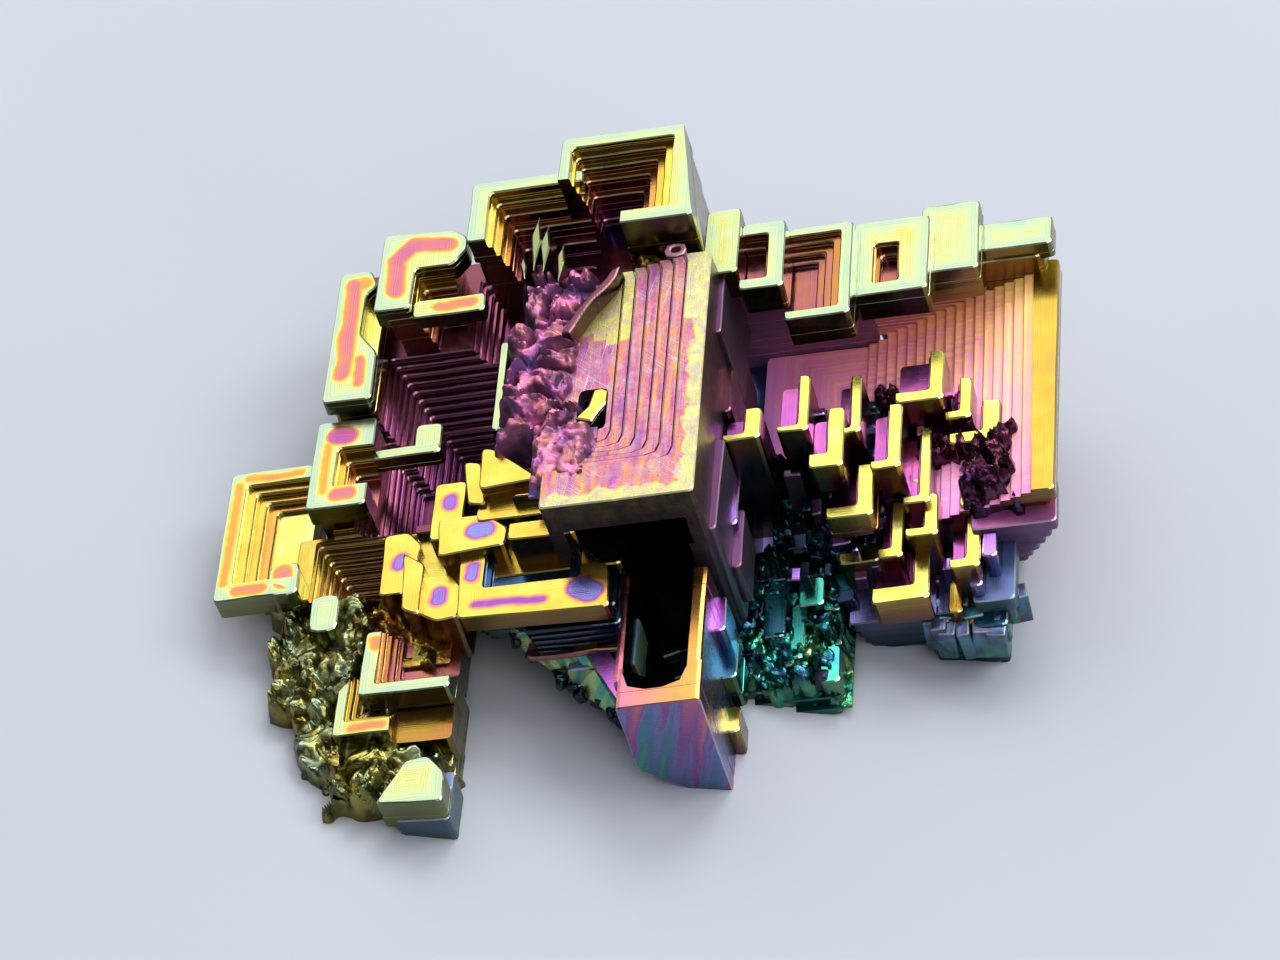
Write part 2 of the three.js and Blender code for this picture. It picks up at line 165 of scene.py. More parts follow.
@dataclass(frozen=True)
class Pool:
    """A pool of thicker film on a crystal's top, round the line from start to end.

    `start` and `end` are u, v; `depth` is how much thicker the film is inside it.
    """
    start: Pair
    end: Pair
    radius: float = 0.35
    depth: float = 0.30


NO_POOL = Pool((0.0, 0.0), (1.0, 0.0), -9.0, 0.0)
POOLS_EACH = 3


@dataclass(frozen=True)
class Dress:
    """What the faces of a solid wear: a coat, a finish and the pools on its top.

    `low` and `high` are the lowest and the highest u, v, w of its crystal.
    """
    low: Array
    high: Array
    coat: Coat
    finish: Finish = Finish.FILM
    pools: tuple[Pool, ...] = ()


@dataclass
class Surface:
    """A closed surface on the lattice.

    `points` is (n, 3), `quads` is (q, 4) and `edge` says which quads are the
    narrow bevels along a crystal's edges; `caps` are the end faces.
    """
    points: Array
    quads: Array
    caps: tuple[Array, ...]
    edge: Array


# ---- surface maths

BEVEL = 0.07          # width of the narrow bevel on every edge, mm
RUN_OUT = 1.2         # how far a funnel runs out past an open side, mm
RUN_UP = 0.6          # how far a cut starts above the face that it is cut in, mm
LEDGE = 0.035         # how far a growth ledge stands out of a wall, mm
LIP = 0.01            # how far down a wall a ledge takes to stand out, mm
TUCK = 0.02           # how far each layer of a crystal starts inside the one above, mm
WOBBLE = 0.03         # how far edges wander, mm
WAVES = (1.5, 5.0)    # the range of the wavelengths of wandering edges, mm
SIDE_CUTS = 3         # points along a side that wanders
ROUND_LIMIT = 0.45    # the most of a side that one rounded corner may take
BEVEL_SHARE, LEDGE_SHARE = 0.3, 0.2    # the most of a tread that its bevel and its ledges take
LEDGE_OUT = (0.3, 1.0)       # how far a pit's ledges stand out, as shares of the most
PIT_LEDGES, WALL_LEDGES = (0.2, 0.9), (0.15, 0.85)    # where on a riser and on a wall ledges lie
GROOVE_ROOM = 3       # how many grooves wide a tread is before it has one
GROOVE_EDGE = 1.5     # how many grooves wide a groove is at its upper edge
RIPPLES = 12          # waves in the sums that shape rough growth
RIPPLE_SIZES, RIPPLE_GAIN = (0.6, 2.2), 0.7    # the range of their lengths, and the sum's strength
SKIRT = 0.2           # how far rough growth reaches below its foot, mm
SHARP = math.radians(55.0)      # the bend from which an edge of rough growth stays sharp


def rectangle(area: Area) -> Array:
    """The corners of an area, (4, 2), from the back left, clockwise as seen from above."""
    u0, u1, v0, v1 = area
    return np.array([[u0, v0], [u1, v0], [u1, v1], [u0, v1]], float)


def inset_corners(outline: Array, insets: Array) -> Array:
    """Moves the sides of an outline inwards and finds its new corners.

    Each side moves along its outward normal n by minus its own inset, which is
    the sum over left, right, back and front of that direction's inset times how
    far n points that way. Corner j, between sides a and b, moves by the d that
    solves n_a . d = -i_a and n_b . d = -i_b.

    Args:
        outline: (n, 2) corners.
        insets: (m, 4) insets of the left, right, back and front, one row a ring.
    Returns:
        (m, n, 2) corners, one set for each ring.
    """
    along = np.roll(outline, -1, 0) - outline
    along /= np.linalg.norm(along, axis=1, keepdims=True)
    after = np.stack([along[:, 1], -along[:, 0]], 1)
    before = np.roll(after, 1, 0)
    share = np.stack([-after[:, 0], after[:, 0], -after[:, 1], after[:, 1]], 1).clip(0)
    of_after = insets @ share.T
    of_before = np.roll(of_after, 1, 1)
    det = before[:, 0] * after[:, 1] - before[:, 1] * after[:, 0]
    shift = np.stack([
        (before[:, 1] * of_after - after[:, 1] * of_before) / det,
        (after[:, 0] * of_before - before[:, 0] * of_after) / det,
    ], 2)
    return outline[None] + shift


def rounded_rings(corners: Array, radius: float, steps: int, cuts: int) -> Array:
    """Rounds the corners of every ring and divides its sides.

    A corner C with sides towards P and Q becomes the quadratic curve
    (1-s)^2 (C + r p) + 2 s (1-s) C + s^2 (C + r q), where p and q are the unit
    directions to P and Q and r is the radius, cut down where a side is short.

    Args:
        corners: (m, n, 2) corners of m rings.
        radius: corner radius.
        steps: points on each rounded corner.
        cuts: points on each straight side, between its rounded ends.
    Returns:
        (m, k, 2) points, k = n (steps + cuts).
    """
    to_next = np.roll(corners, -1, 1) - corners
    length = np.linalg.norm(to_next, axis=2, keepdims=True).clip(1e-6)
    ahead = to_next / length
    back = -np.roll(ahead, 1, 1)
    reach = np.minimum(radius, ROUND_LIMIT * np.minimum(length, np.roll(length, 1, 1)))
    start, end = corners + back * reach, corners + ahead * reach
    s = np.linspace(0, 1, steps)[:, None]
    arc = ((1 - s) ** 2 * start[:, :, None] + 2 * s * (1 - s) * corners[:, :, None]
           + s ** 2 * end[:, :, None])
    q = (np.arange(1, cuts + 1) / (cuts + 1))[:, None]
    side = (1 - q) * end[:, :, None] + q * np.roll(start, -1, 1)[:, :, None]
    return np.concatenate([arc, side], 2).reshape(len(corners), -1, 2)


def loft(outline: Array, levels: Array, radius: float, steps: int = 3, cuts: int = 0) -> Surface:
    """Carries an outline down a profile.

    Point (k, i) of the surface is point i of the outline after its sides have
    moved in by the insets of level k, at the height of level k.

    Args:
        outline: (n, 2) corners.
        levels: (m, 6) rows of w, the four insets, and 1 where the strip below is a bevel.
        radius: corner radius.
        steps: points on each rounded corner.
        cuts: extra points on each side.
    Returns:
        The closed surface, facing out.
    """
    flat = rounded_rings(inset_corners(outline, levels[:, 1:5]), radius, steps, cuts)
    m, k = flat.shape[:2]
    heights = np.repeat(levels[:, :1], k, 1)[..., None]
    points = np.concatenate([flat, heights], 2).reshape(-1, 3)
    ring, place = np.meshgrid(np.arange(m - 1), np.arange(k), indexing="ij")
    beside = (place + 1) % k
    quads = np.stack([ring * k + place, ring * k + beside,
                      (ring + 1) * k + beside, (ring + 1) * k + place], 2).reshape(-1, 4)
    caps = (np.arange(k)[::-1], (m - 1) * k + np.arange(k))
    return Surface(points, quads, caps, np.repeat(levels[:-1, 5], k))


def profile(rows: list[tuple[float, Array, int]]) -> Array:
    """Rows of height, insets and bevel mark as the (m, 6) levels that `loft` takes."""
    return np.array([[height, *insets, edge] for height, insets, edge in rows])


def cells(grid: Array, order: tuple[int, ...]) -> Array:
    """The four-sided cells of a grid of point numbers.

    Args:
        grid: (a, b) point numbers.
        order: the order of a cell's corners, which decides where it faces.
    Returns:
        (n, 4) point numbers.
    """
    corners = (grid[:-1, :-1], grid[:-1, 1:], grid[1:, 1:], grid[1:, :-1])
    return np.stack([corners[k] for k in order], 2).reshape(-1, 4)


def border(grid: Array) -> Array:
    """The point numbers round the border of a grid, in a ring."""
    return np.concatenate([grid[:-1, 0], grid[-1, :-1], grid[:0:-1, -1], grid[0, :0:-1]])


def wander(points: Array, amount: float, rng: Rng) -> Array:
    """Bends straight edges a little, as grown edges bend.

    Each coordinate is moved by the mean of three sine waves over the lattice,
    with random directions and wavelengths of 1.5 to 5 mm, times the amount.

    Args:
        points: (n, 3) places.
        amount: the most that a point moves.
        rng: where the random waves come from.
    Returns:
        The moved (n, 3) places.
    """
    waves = rng.normal(size=(3, 3, 3))
    waves *= 2 * np.pi / rng.uniform(*WAVES, (3, 3, 1)) / np.linalg.norm(waves, axis=2, keepdims=True)
    phase = rng.uniform(0, 2 * np.pi, (3, 3))
    push = np.sin(np.einsum("acw,nw->nac", waves, points) + phase).mean(2)
    return points + amount * push


def tilted(points: Array, degrees: float, rng: Rng) -> Array:
    """Turns a crystal by a small random angle about its own middle.

    Args:
        points: (n, 3) places.
        degrees: the standard deviation of the turn about each axis.
        rng: where the random angle comes from.
    Returns:
        The turned (n, 3) places.
    """
    x, y, z = np.radians(rng.normal(0, degrees, 3))
    turn = np.array([[1, -z, y], [z, 1, -x], [-y, x, 1]])
    middle = (points.min(0) + points.max(0)) / 2
    return (points - middle) @ turn.T + middle


# ---- crystals

@dataclass(frozen=True)
class Funnel:
    """The stepped square pit in the face of a crystal.

    `area` is the pit inside the rim, `drops` how far each step goes down,
    `tread` the width of a step on each side, `open` the letters of the sides
    where it runs out through the rim: l, r, b or f. `groove` is the depth and
    width of the groove at the foot of each riser. `top` is the w that it starts
    from, where that isn't the crystal's own.
    """
    area: Area
    drops: tuple[float, ...]
    tread: Sides = Sides()
    open: str = ""
    coat: Coat | None = None
    groove: float = 0.0
    radius: float = 0.22
    ledges: int = 2
    top: float | None = None

    def surface(self, face: float, rng: Rng, wobble: float) -> Surface:
        """The pit as a closed surface that is cut out of the crystal.

        The profile goes down each riser with a few narrow ledges, through the
        groove, in along the tread to a bevelled edge, and so on to the floor.

        Args:
            face: w of the face that it is cut in.
            rng: where the heights of the ledges come from.
            wobble: how far its edges wander.
        Returns:
            The surface.
        """
        top = face if self.top is None else self.top
        runs = np.array([side in self.open for side in "lrbf"])
        outline = rectangle(tuple(np.array(self.area) + np.array([-1, 1, -1, 1]) * RUN_OUT * runs))
        closed = (~runs).astype(float)
        tread = self.tread.row() * closed
        bevel = np.minimum(BEVEL, BEVEL_SHARE * tread)
        ledge = np.minimum(LEDGE, LEDGE_SHARE * tread)
        groove = self.groove * (tread > GROOVE_ROOM * self.groove)
        rows = [(top - RUN_UP, -BEVEL * closed, 0), (top, -BEVEL * closed, 1), (top + BEVEL, 0 * tread, 0)]
        floor = top
        for k, drop in enumerate(self.drops):
            out = k * tread
            for height in floor + drop * np.sort(rng.uniform(*PIT_LEDGES, self.ledges)):
                rows.append((height, out, 0))
                out = out + ledge * rng.uniform(*LEDGE_OUT)
                rows.append((height + LIP, out, 0))
            floor += drop
            if self.groove:
                rows += [(floor + self.groove, out, 0), (floor + self.groove, out + groove, 0),
                         (floor, out + GROOVE_EDGE * groove, 0)]
            else:
                rows.append((floor, out, 0))
            if k + 1 < len(self.drops):
                rows += [(floor, (k + 1) * tread - bevel, 1), (floor + BEVEL, (k + 1) * tread, 0)]
        made = loft(outline, profile(rows), self.radius, cuts=SIDE_CUTS if wobble > 0 else 0)
        made.points = wander(made.points, wobble, rng)
        return made


@dataclass(frozen=True)
class Crystal:
    """One crystal of the cluster: a stack of square layers, cut by its funnels.

    `outline` is an area or a list of corners, `top` and `foot` its range of w.
    Each of its `layers` is narrower than the one above by its `flare`, as it
    grew outwards. `cuts` are other solids that are taken out of it. `standing`
    crystals have their outline in u and w, and `top` and `foot` are then the
    range of v. `pools` are up to three pools of film on its top.
    """
    outline: Area | tuple[Pair, ...]
    top: float
    foot: float
    coat: Coat = Coat()
    layers: int = 1
    flare: Sides = Sides()
    funnels: tuple[Funnel, ...] = ()
    cuts: tuple["Crystal", ...] = ()
    pools: tuple[Pool, ...] = ()
    finish: Finish = Finish.FILM
    radius: float = 0.25
    ledges: int = 3
    wobble: float = WOBBLE
    tilt: float = 0.35
    standing: bool = False

    def corners(self) -> Array:
        """The outline's corners, turned so that they run the way that a surface needs.

        Returns:
            (n, 2) corners.
        """
        if isinstance(self.outline[0], (int, float)):
            return rectangle(self.outline)
        points = np.array(self.outline, float)
        ahead = np.roll(points, -1, 0)
        turn = np.sum(points[:, 0] * ahead[:, 1] - points[:, 1] * ahead[:, 0])
        return points if turn > 0 else points[::-1]

    def levels(self, rng: Rng) -> Array:
        """The profile: a bevel, then each layer's wall with its ledges and its undercut.

        Args:
            rng: where the heights of the ledges come from.
        Returns:
            (m, 6) rows as `loft` takes them.
        """
        flare = self.flare.row()
        rows = [(self.top, np.full(4, BEVEL), 1), (self.top + BEVEL, np.zeros(4), 0)]
        rise = (self.foot - self.top) / self.layers
        for k in range(self.layers):
            start, inset, out = self.top + k * rise, k * flare, 0.0
            for height in start + rise * np.sort(rng.uniform(*WALL_LEDGES, self.ledges)):
                rows.append((height, inset + out, 0))
                out = LEDGE * rng.uniform()
                rows.append((height + LIP, inset + out, 0))
            rows.append((start + rise - BEVEL, inset + out, 1))
            rows.append((start + rise, inset + out + BEVEL, 0))
            if k + 1 < self.layers:
                rows.append((start + rise, inset + flare + TUCK, 0))
        return profile(rows)

    def surface(self, rng: Rng) -> Surface:
        """The uncut crystal as a closed surface.

        Args:
            rng: where its ledges and wandering edges come from.
        Returns:
            The surface.
        """
        side_cuts = SIDE_CUTS if self.wobble > 0 else 0
        made = loft(self.corners(), self.levels(rng), self.radius, cuts=side_cuts)
        if self.standing:
            made.points = made.points[:, [0, 2, 1]]
            made.quads = made.quads[:, ::-1]
            made.caps = tuple(cap[::-1] for cap in made.caps)
        made.points = wander(made.points, self.wobble, rng)
        return made

    def bounds(self) -> tuple[Array, Array]:
        """The reach of the uncut crystal.

        Returns:
            Its lowest and its highest u, v, w.
        """
        low, high = self.corners().min(0), self.corners().max(0)
        if self.standing:
            return np.array([low[0], self.top, low[1]]), np.array([high[0], self.foot, high[1]])
        return np.array([*low, self.top]), np.array([*high, self.foot])

    def dress(self) -> Dress:
        """What the faces of the uncut crystal wear."""
        return Dress(*self.bounds(), self.coat, self.finish, self.pools)


@dataclass(frozen=True)
class Growth(Crystal):
    """A patch of rough growth: a terraced height field with ragged edges.

    `slope` is how far it falls for each millimetre along u and v, `terraces` the
    number of its steps, `blend` how far it follows them, `relief` and `wave` the
    height and the size of its lobes and `cell` that of its grid. Beside `wave`,
    `bend` is how far the lobes are bent, `bend_size` the size of the bends and
    `small_size` that of the small lobes. `large` is the large lobes' share of the
    relief and `crease` the power that leaves creases between them. `ragged` and
    `ragged_size` are how far and how finely the border wanders, and `border_rise`
    and `border_start` how steeply and from where it rises.
    """
    slope: Pair = (0.0, 0.0)
    terraces: int = 7
    blend: float = 0.45
    relief: float = 1.1
    wave: float = 1.6
    cell: float = 0.11
    bend: float = 0.3
    bend_size: float = 1.2
    small_size: float = 0.35
    large: float = 0.75
    crease: float = 0.7
    ragged: float = 0.22
    ragged_size: float = 0.7
    border_rise: float = 1.8
    border_start: float = 0.1
    tilt: float = 0.0
    finish: Finish = Finish.GROWTH

    def surface(self, rng: Rng) -> Surface:
        """The height field with its skirt and its flat underside.

        The lobes are h = a |n|^c + (1 - a) |m|^c, rounded with creases between
        them, where n and m are sums of waves in random directions, a large and a
        small one, read at places that a third sum has bent. The border e rises
        raggedly from 0 to 1, and the height is H = e (1 - r (1 - h)), with r the
        relief's share of the whole. H is partly terraced: with k terraces and
        f = frac(k H) it becomes H (1 - b) + b (floor(k H) + f^4) / k, and
        w = foot - H (foot - top).

        Args:
            rng: where the waves come from.
        Returns:
            The surface.
        """
        u0, u1, v0, v1 = self.outline
        nu, nv = (max(4, round(span / self.cell)) for span in (u1 - u0, v1 - v0))
        u, v = np.meshgrid(np.linspace(u0, u1, nu), np.linspace(v0, v1, nv), indexing="ij")
        bend = self.bend * self.wave
        bent_u = u + bend * self.ripples(u, v, self.bend_size, rng)
        bent_v = v + bend * self.ripples(u, v, self.bend_size, rng)
        lobes = np.abs(self.ripples(bent_u, bent_v, 1.0, rng)) ** self.crease
        small = np.abs(self.ripples(bent_u, bent_v, self.small_size, rng)) ** self.crease
        inside = np.minimum(np.minimum(u - u0, u1 - u), np.minimum(v - v0, v1 - v))
        ragged = inside / self.wave + self.ragged * self.ripples(u, v, self.ragged_size, rng)
        edge = np.clip(self.border_rise * ragged - self.border_start, 0.0, 1.0)
        share = self.relief / (self.foot - self.top)
        hollow = 1 - self.large * lobes - (1 - self.large) * small
        height = edge * edge * (3 - 2 * edge) * (1 - share * hollow)
        steps = self.terraces * height
        stepped = (np.floor(steps) + (steps % 1.0) ** 4) / self.terraces
        height = height * (1 - self.blend) + stepped * self.blend
        fall = self.slope[0] * (u - u0) + self.slope[1] * (v - v0)
        w = self.foot - height * (self.foot - self.top) + fall
        grid = np.arange(nu * nv).reshape(nu, nv)
        ring = border(grid)
        below = nu * nv + np.arange(len(ring))
        skirt = np.stack([ring, np.roll(ring, -1), np.roll(below, -1), below], 1)
        over = np.stack([u, v, w], 2).reshape(-1, 3)
        under = over[ring].copy()
        under[:, 2] = self.foot + max(fall.max(), 0.0) + SKIRT
        quads = np.concatenate([cells(grid, (0, 1, 2, 3)), skirt])
        return Surface(np.concatenate([over, under]), quads, (below,), np.zeros(len(quads)))

    def ripples(self, u: Array, v: Array, scale: float, rng: Rng) -> Array:
        """A sum of twelve waves in random directions, kept between -1 and 1.

        Args:
            u: where it is read.
            v: where it is read.
            scale: size of the waves beside `wave`.
            rng: where directions, lengths and phases come from.
        Returns:
            The sum at each place.
        """
        angle, phase = rng.uniform(0, 2 * np.pi, (2, RIPPLES))
        length = self.wave * scale * rng.uniform(*RIPPLE_SIZES, RIPPLES)
        strength = length / np.sqrt((length ** 2).sum() / 2)
        turn = 2 * np.pi / length
        each = np.sin(np.multiply.outer(u, turn * np.cos(angle))
                      + np.multiply.outer(v, turn * np.sin(angle)) + phase)
        return np.clip(each @ strength * RIPPLE_GAIN, -1, 1)


@dataclass(frozen=True)
class Sheet(Crystal):
    """A bent plate between two edges, each a line through places u, v, w.

    `thick` is how far it reaches back along v. It has grooves that run mostly
    down it and lean by `lean`: `folds` waves, whose lengths are in the range
    `fold_sizes`, turned by up to `fold_turn` and `fold` deep.
    """
    outline: Area = (0.0, 1.0, 0.0, 1.0)
    top: float = 0.0
    foot: float = 1.0
    upper: tuple[Triple, ...] = ()
    lower: tuple[Triple, ...] = ()
    thick: float = 1.0
    fold: float = 0.12
    folds: int = 6
    fold_sizes: Pair = (0.8, 3.0)
    fold_turn: float = 0.25
    lean: float = 0.55
    across: int = 60
    down: int = 24
    tilt: float = 0.0

    def surface(self, rng: Rng) -> Surface:
        """The plate as a closed surface.

        Its front is p(s, t) = (1 - t) a(s) + t b(s), with a and b the two edges,
        pushed along v by -2 fold |n(s, t)|, where n is the mean of the waves. Its
        back is the same with v less by `thick`.

        Args:
            rng: where the waves come from.
        Returns:
            The surface.
        """
        s = np.linspace(0, 1, self.across)
        edges = [np.stack([np.interp(s, np.linspace(0, 1, len(line)), axis)
                           for axis in np.array(line).T], 1) for line in (self.upper, self.lower)]
        t = np.linspace(0, 1, self.down)[None, :, None]
        front = (1 - t) * edges[0][:, None] + t * edges[1][:, None]
        angle = rng.uniform(-self.fold_turn, self.fold_turn, self.folds)
        phase = rng.uniform(0, 2 * np.pi, self.folds)
        turn = 2 * np.pi / rng.uniform(*self.fold_sizes, self.folds)
        along = np.multiply.outer(front[..., 0] - self.lean * front[..., 2], turn * np.cos(angle))
        waves = np.sin(along + np.multiply.outer(front[..., 2], turn * np.sin(angle)) + phase).mean(2)
        front[..., 1] -= self.fold * np.abs(waves) * 2
        back = front - np.array([0.0, self.thick, 0.0])
        n = self.across * self.down
        grid = np.arange(n).reshape(self.across, self.down)
        quads = cells(grid, (0, 3, 2, 1))
        ring = border(grid)
        side = np.stack([np.roll(ring, -1), ring, ring + n, np.roll(ring, -1) + n], 1)
        faces = np.concatenate([quads, quads[:, ::-1] + n, side])
        return Surface(np.concatenate([front.reshape(-1, 3), back.reshape(-1, 3)]), faces, (),
                       np.zeros(len(faces)))

    def bounds(self) -> tuple[Array, Array]:
        """The lowest and highest u, v, w of its two edges."""
        places = np.array(self.upper + self.lower)
        return places.min(0), places.max(0)


# ---- growing the cluster

class Forge:
    """Turns crystals into Blender meshes, cuts their funnels and grows them into one.

    The film of each crystal is written on its faces, so that it stays with them
    through every join and cut:
        film   thickness where u, v and w are 0
        slope  how much thicker per millimetre along u, v and w
        low, high  the u and v between which the crystal's top lies, and in
               high's third place how much the film thickens inwards
        state  bevel, ripple and matte
        light  the painted shade and light, and the painted shade for each millimetre down
        pool_1a, pool_1b and so on  u, v and radius of a pool's start, and u, v
               of its end with how much thicker the film is
    """

    def __init__(self) -> None:
        """Starts with no crystals."""
        self.grown_parts = self.shelf("grown parts")
        self.count = 0

    @staticmethod
    def shelf(name: str) -> Collection:
        """Makes a collection for the pieces of one join or cut.

        Args:
            name: the collection's name.
        Returns:
            The collection.
        """
        made = bpy.data.collections.new(name)
        bpy.context.scene.collection.children.link(made)
        return made

    @staticmethod
    def paint(mesh: Mesh, dress: Dress, edge: Array) -> None:
        """Writes what a mesh wears on every face of it.

        Args:
            mesh: the mesh.
            dress: what it wears.
            edge: for each face, 1 on a bevel.
        """
        n = len(mesh.polygons)
        coat, low, high = dress.coat, dress.low, dress.high
        slope = np.array([*coat.drift, coat.deepen])
        middle = np.array([*(low[:2] + high[:2]) / 2, low[2]])
        rows = {
            "film": np.full(n, coat.tone - slope @ middle),
            "slope": np.tile(slope, (n, 1)),
            "low": np.tile(low, (n, 1)),
            "high": np.tile([high[0], high[1], coat.inward], (n, 1)),
            "state": np.stack([edge, np.full(n, coat.ripple), np.full(n, coat.matte)], 1),
            "light": np.tile([coat.shade, coat.painted_depth_shade, 0.0], (n, 1)),
        }
        for k, pool in enumerate((*dress.pools, *[NO_POOL] * POOLS_EACH)[:POOLS_EACH]):
            rows[f"pool_{k + 1}a"] = np.tile([*pool.start, pool.radius], (n, 1))
            rows[f"pool_{k + 1}b"] = np.tile([*pool.end, pool.depth], (n, 1))
        rows["finish"] = np.full(n, float(dress.finish.value))
        for name, values in rows.items():
            kind, slot = ("FLOAT_VECTOR", "vector") if values.ndim == 2 else ("FLOAT", "value")
            mesh.attributes.new(name, kind, "FACE").data.foreach_set(slot, values.ravel())

    def place(self, name: str, made: Surface, shelf: Collection, dress: Dress,
              in_part: bool = False) -> Object:
        """Puts a surface into Blender, in the part's frame, and paints it.

        Args:
            name: the object's name.
            made: the surface.
            shelf: the collection that it goes in.
            dress: what it wears.
            in_part: whether its points are already in the part frame, in metres.
        Returns:
            The object.
        """
        mesh = bpy.data.meshes.new(name)
        faces = made.quads.tolist() + [cap.tolist() for cap in made.caps]
        points = made.points if in_part else to_part(made.points)
        mesh.from_pydata(points.tolist(), [], faces)
        edge = np.concatenate([made.edge, np.zeros(len(made.caps))])
        self.paint(mesh, dress, edge)
        obj = bpy.data.objects.new(name, mesh)
        shelf.objects.link(obj)
        return obj

    @staticmethod
    def combine(obj: Object, how: Join, shelf: Collection) -> None:
        """Adds a boolean of an object with everything on a shelf.

        Args:
            obj: the object that is joined or cut.
            how: join or cut.
            shelf: the other solids.
        """
        mod = obj.modifiers.new(how.name, "BOOLEAN")
        mod.operation = how.value
        mod.solver = "MANIFOLD"
        mod.operand_type = "COLLECTION"
        mod.collection = shelf

    @staticmethod
    def settled(obj: Object, name: str) -> Mesh:
        """The mesh of an object once its modifiers have run.

        Args:
            obj: the object.
            name: the name of the mesh.
        Returns:
            A new mesh.
        """
        graph = bpy.context.evaluated_depsgraph_get()
        mesh = bpy.data.meshes.new_from_object(obj.evaluated_get(graph))
        mesh.name = name
        return mesh

    @staticmethod
    def cleared(shelves: list[Collection]) -> None:
        """Removes shelves and all that is on them.

        Args:
            shelves: the collections.
        """
        for shelf in shelves:
            for obj in list(shelf.objects):
                bpy.data.meshes.remove(obj.data)
            bpy.data.collections.remove(shelf)

    def cut(self, obj: Object, crystal: Crystal, rng: Rng, cuts: Collection) -> None:
        """Puts a crystal's funnels and other cuts on a shelf and takes them out of it.

        Args:
            obj: the uncut crystal.
            crystal: its description.
            rng: where ledges and wandering edges come from.
            cuts: the shelf.
        """
        bare = replace(crystal.dress(), pools=())
        inside = replace(crystal.coat, ripple=1.0)
        for k, funnel in enumerate(crystal.funnels):
            pit = funnel.surface(crystal.top, rng, crystal.wobble)
            self.place(f"{obj.name}_pit_{k}", pit, cuts, replace(bare, coat=funnel.coat or inside))
        for k, other in enumerate(crystal.cuts):
            dress = replace(bare, coat=other.coat, finish=other.finish)
            self.place(f"{obj.name}_cut_{k}", other.surface(rng), cuts, dress)
        self.combine(obj, Join.CUT, cuts)

    def add(self, name: str, crystals: list[Crystal], pits: list[Funnel]) -> None:
        """Grows the crystals of one sub-assembly into one mesh.

        Args:
            name: the sub-assembly's name.
            crystals: its crystals.
            pits: funnels that cut through all of them.
        """
        self.count += 1
        shelf = self.shelf(f"{name}_rest")
        base = self.shelf(f"{name}_first")
        used = [shelf, base]
        for k, crystal in enumerate(crystals):
            rng = np.random.default_rng([SEED, self.count, k])
            made = crystal.surface(rng)
            made.points = tilted(made.points, crystal.tilt, rng)
            obj = self.place(f"{name}_{k}", made, shelf if k else base, crystal.dress())
            if crystal.funnels or crystal.cuts:
                cuts = self.shelf(f"{name}_{k}_cuts")
                used.append(cuts)
                self.cut(obj, crystal, rng, cuts)
        first = base.objects[0]
        if len(shelf.objects):
            self.combine(first, Join.ADD, shelf)
        if pits:
            through = self.shelf(f"{name}_pits")
            used.append(through)
            rng = np.random.default_rng([SEED, self.count, len(crystals)])
            for k, funnel in enumerate(pits):
                u0, u1, v0, v1 = funnel.area
                dress = Dress(np.array([u0, v0, funnel.top]), np.array([u1, v1, funnel.top]), funnel.coat)
                self.place(f"{name}_pit_{k}", funnel.surface(0.0, rng, WOBBLE), through, dress)
            self.combine(first, Join.CUT, through)
        mesh = self.settled(first, name)
        self.cleared(used)
        self.grown_parts.objects.link(bpy.data.objects.new(name, mesh))
        LOG.info("%s: %d crystals, %d faces", name, len(crystals), len(mesh.polygons))

    def without_crumbs(self, whole: Mesh, name: str) -> Mesh:
        """Removes what the cuts have left loose, so that one connected piece stays.

        Every vertex takes the lowest number among its neighbours until none
        changes. Each connected piece then has one number, and the commonest stays.

        Args:
            whole: the mesh with its crumbs.
            name: the name of the new mesh.
        Returns:
            The largest connected piece.
        """
        ends = np.empty(2 * len(whole.edges), np.int32)
        whole.edges.foreach_get("vertices", ends)
        ends = ends.reshape(-1, 2)
        label, lower = None, np.arange(len(whole.vertices))
        while label is None or not np.array_equal(label, lower):
            label, lower = lower, lower.copy()
            low = label[ends].min(1)
            np.minimum.at(lower, ends[:, 0], low)
            np.minimum.at(lower, ends[:, 1], low)
            lower = lower[lower]
        loose = np.flatnonzero(label != np.bincount(label).argmax())
        shelf = self.shelf("crumbs")
        obj = bpy.data.objects.new("whole", whole)
        shelf.objects.link(obj)
        obj.vertex_groups.new(name="crumbs").add(loose.tolist(), 1.0, "REPLACE")
        mask = obj.modifiers.new("crumbs", "MASK")
        mask.vertex_group = "crumbs"
        mask.invert_vertex_group = True
        mesh = self.settled(obj, name)
        self.cleared([shelf])
        LOG.info("crumbs: %d of %d points", len(loose), len(label))
        return mesh

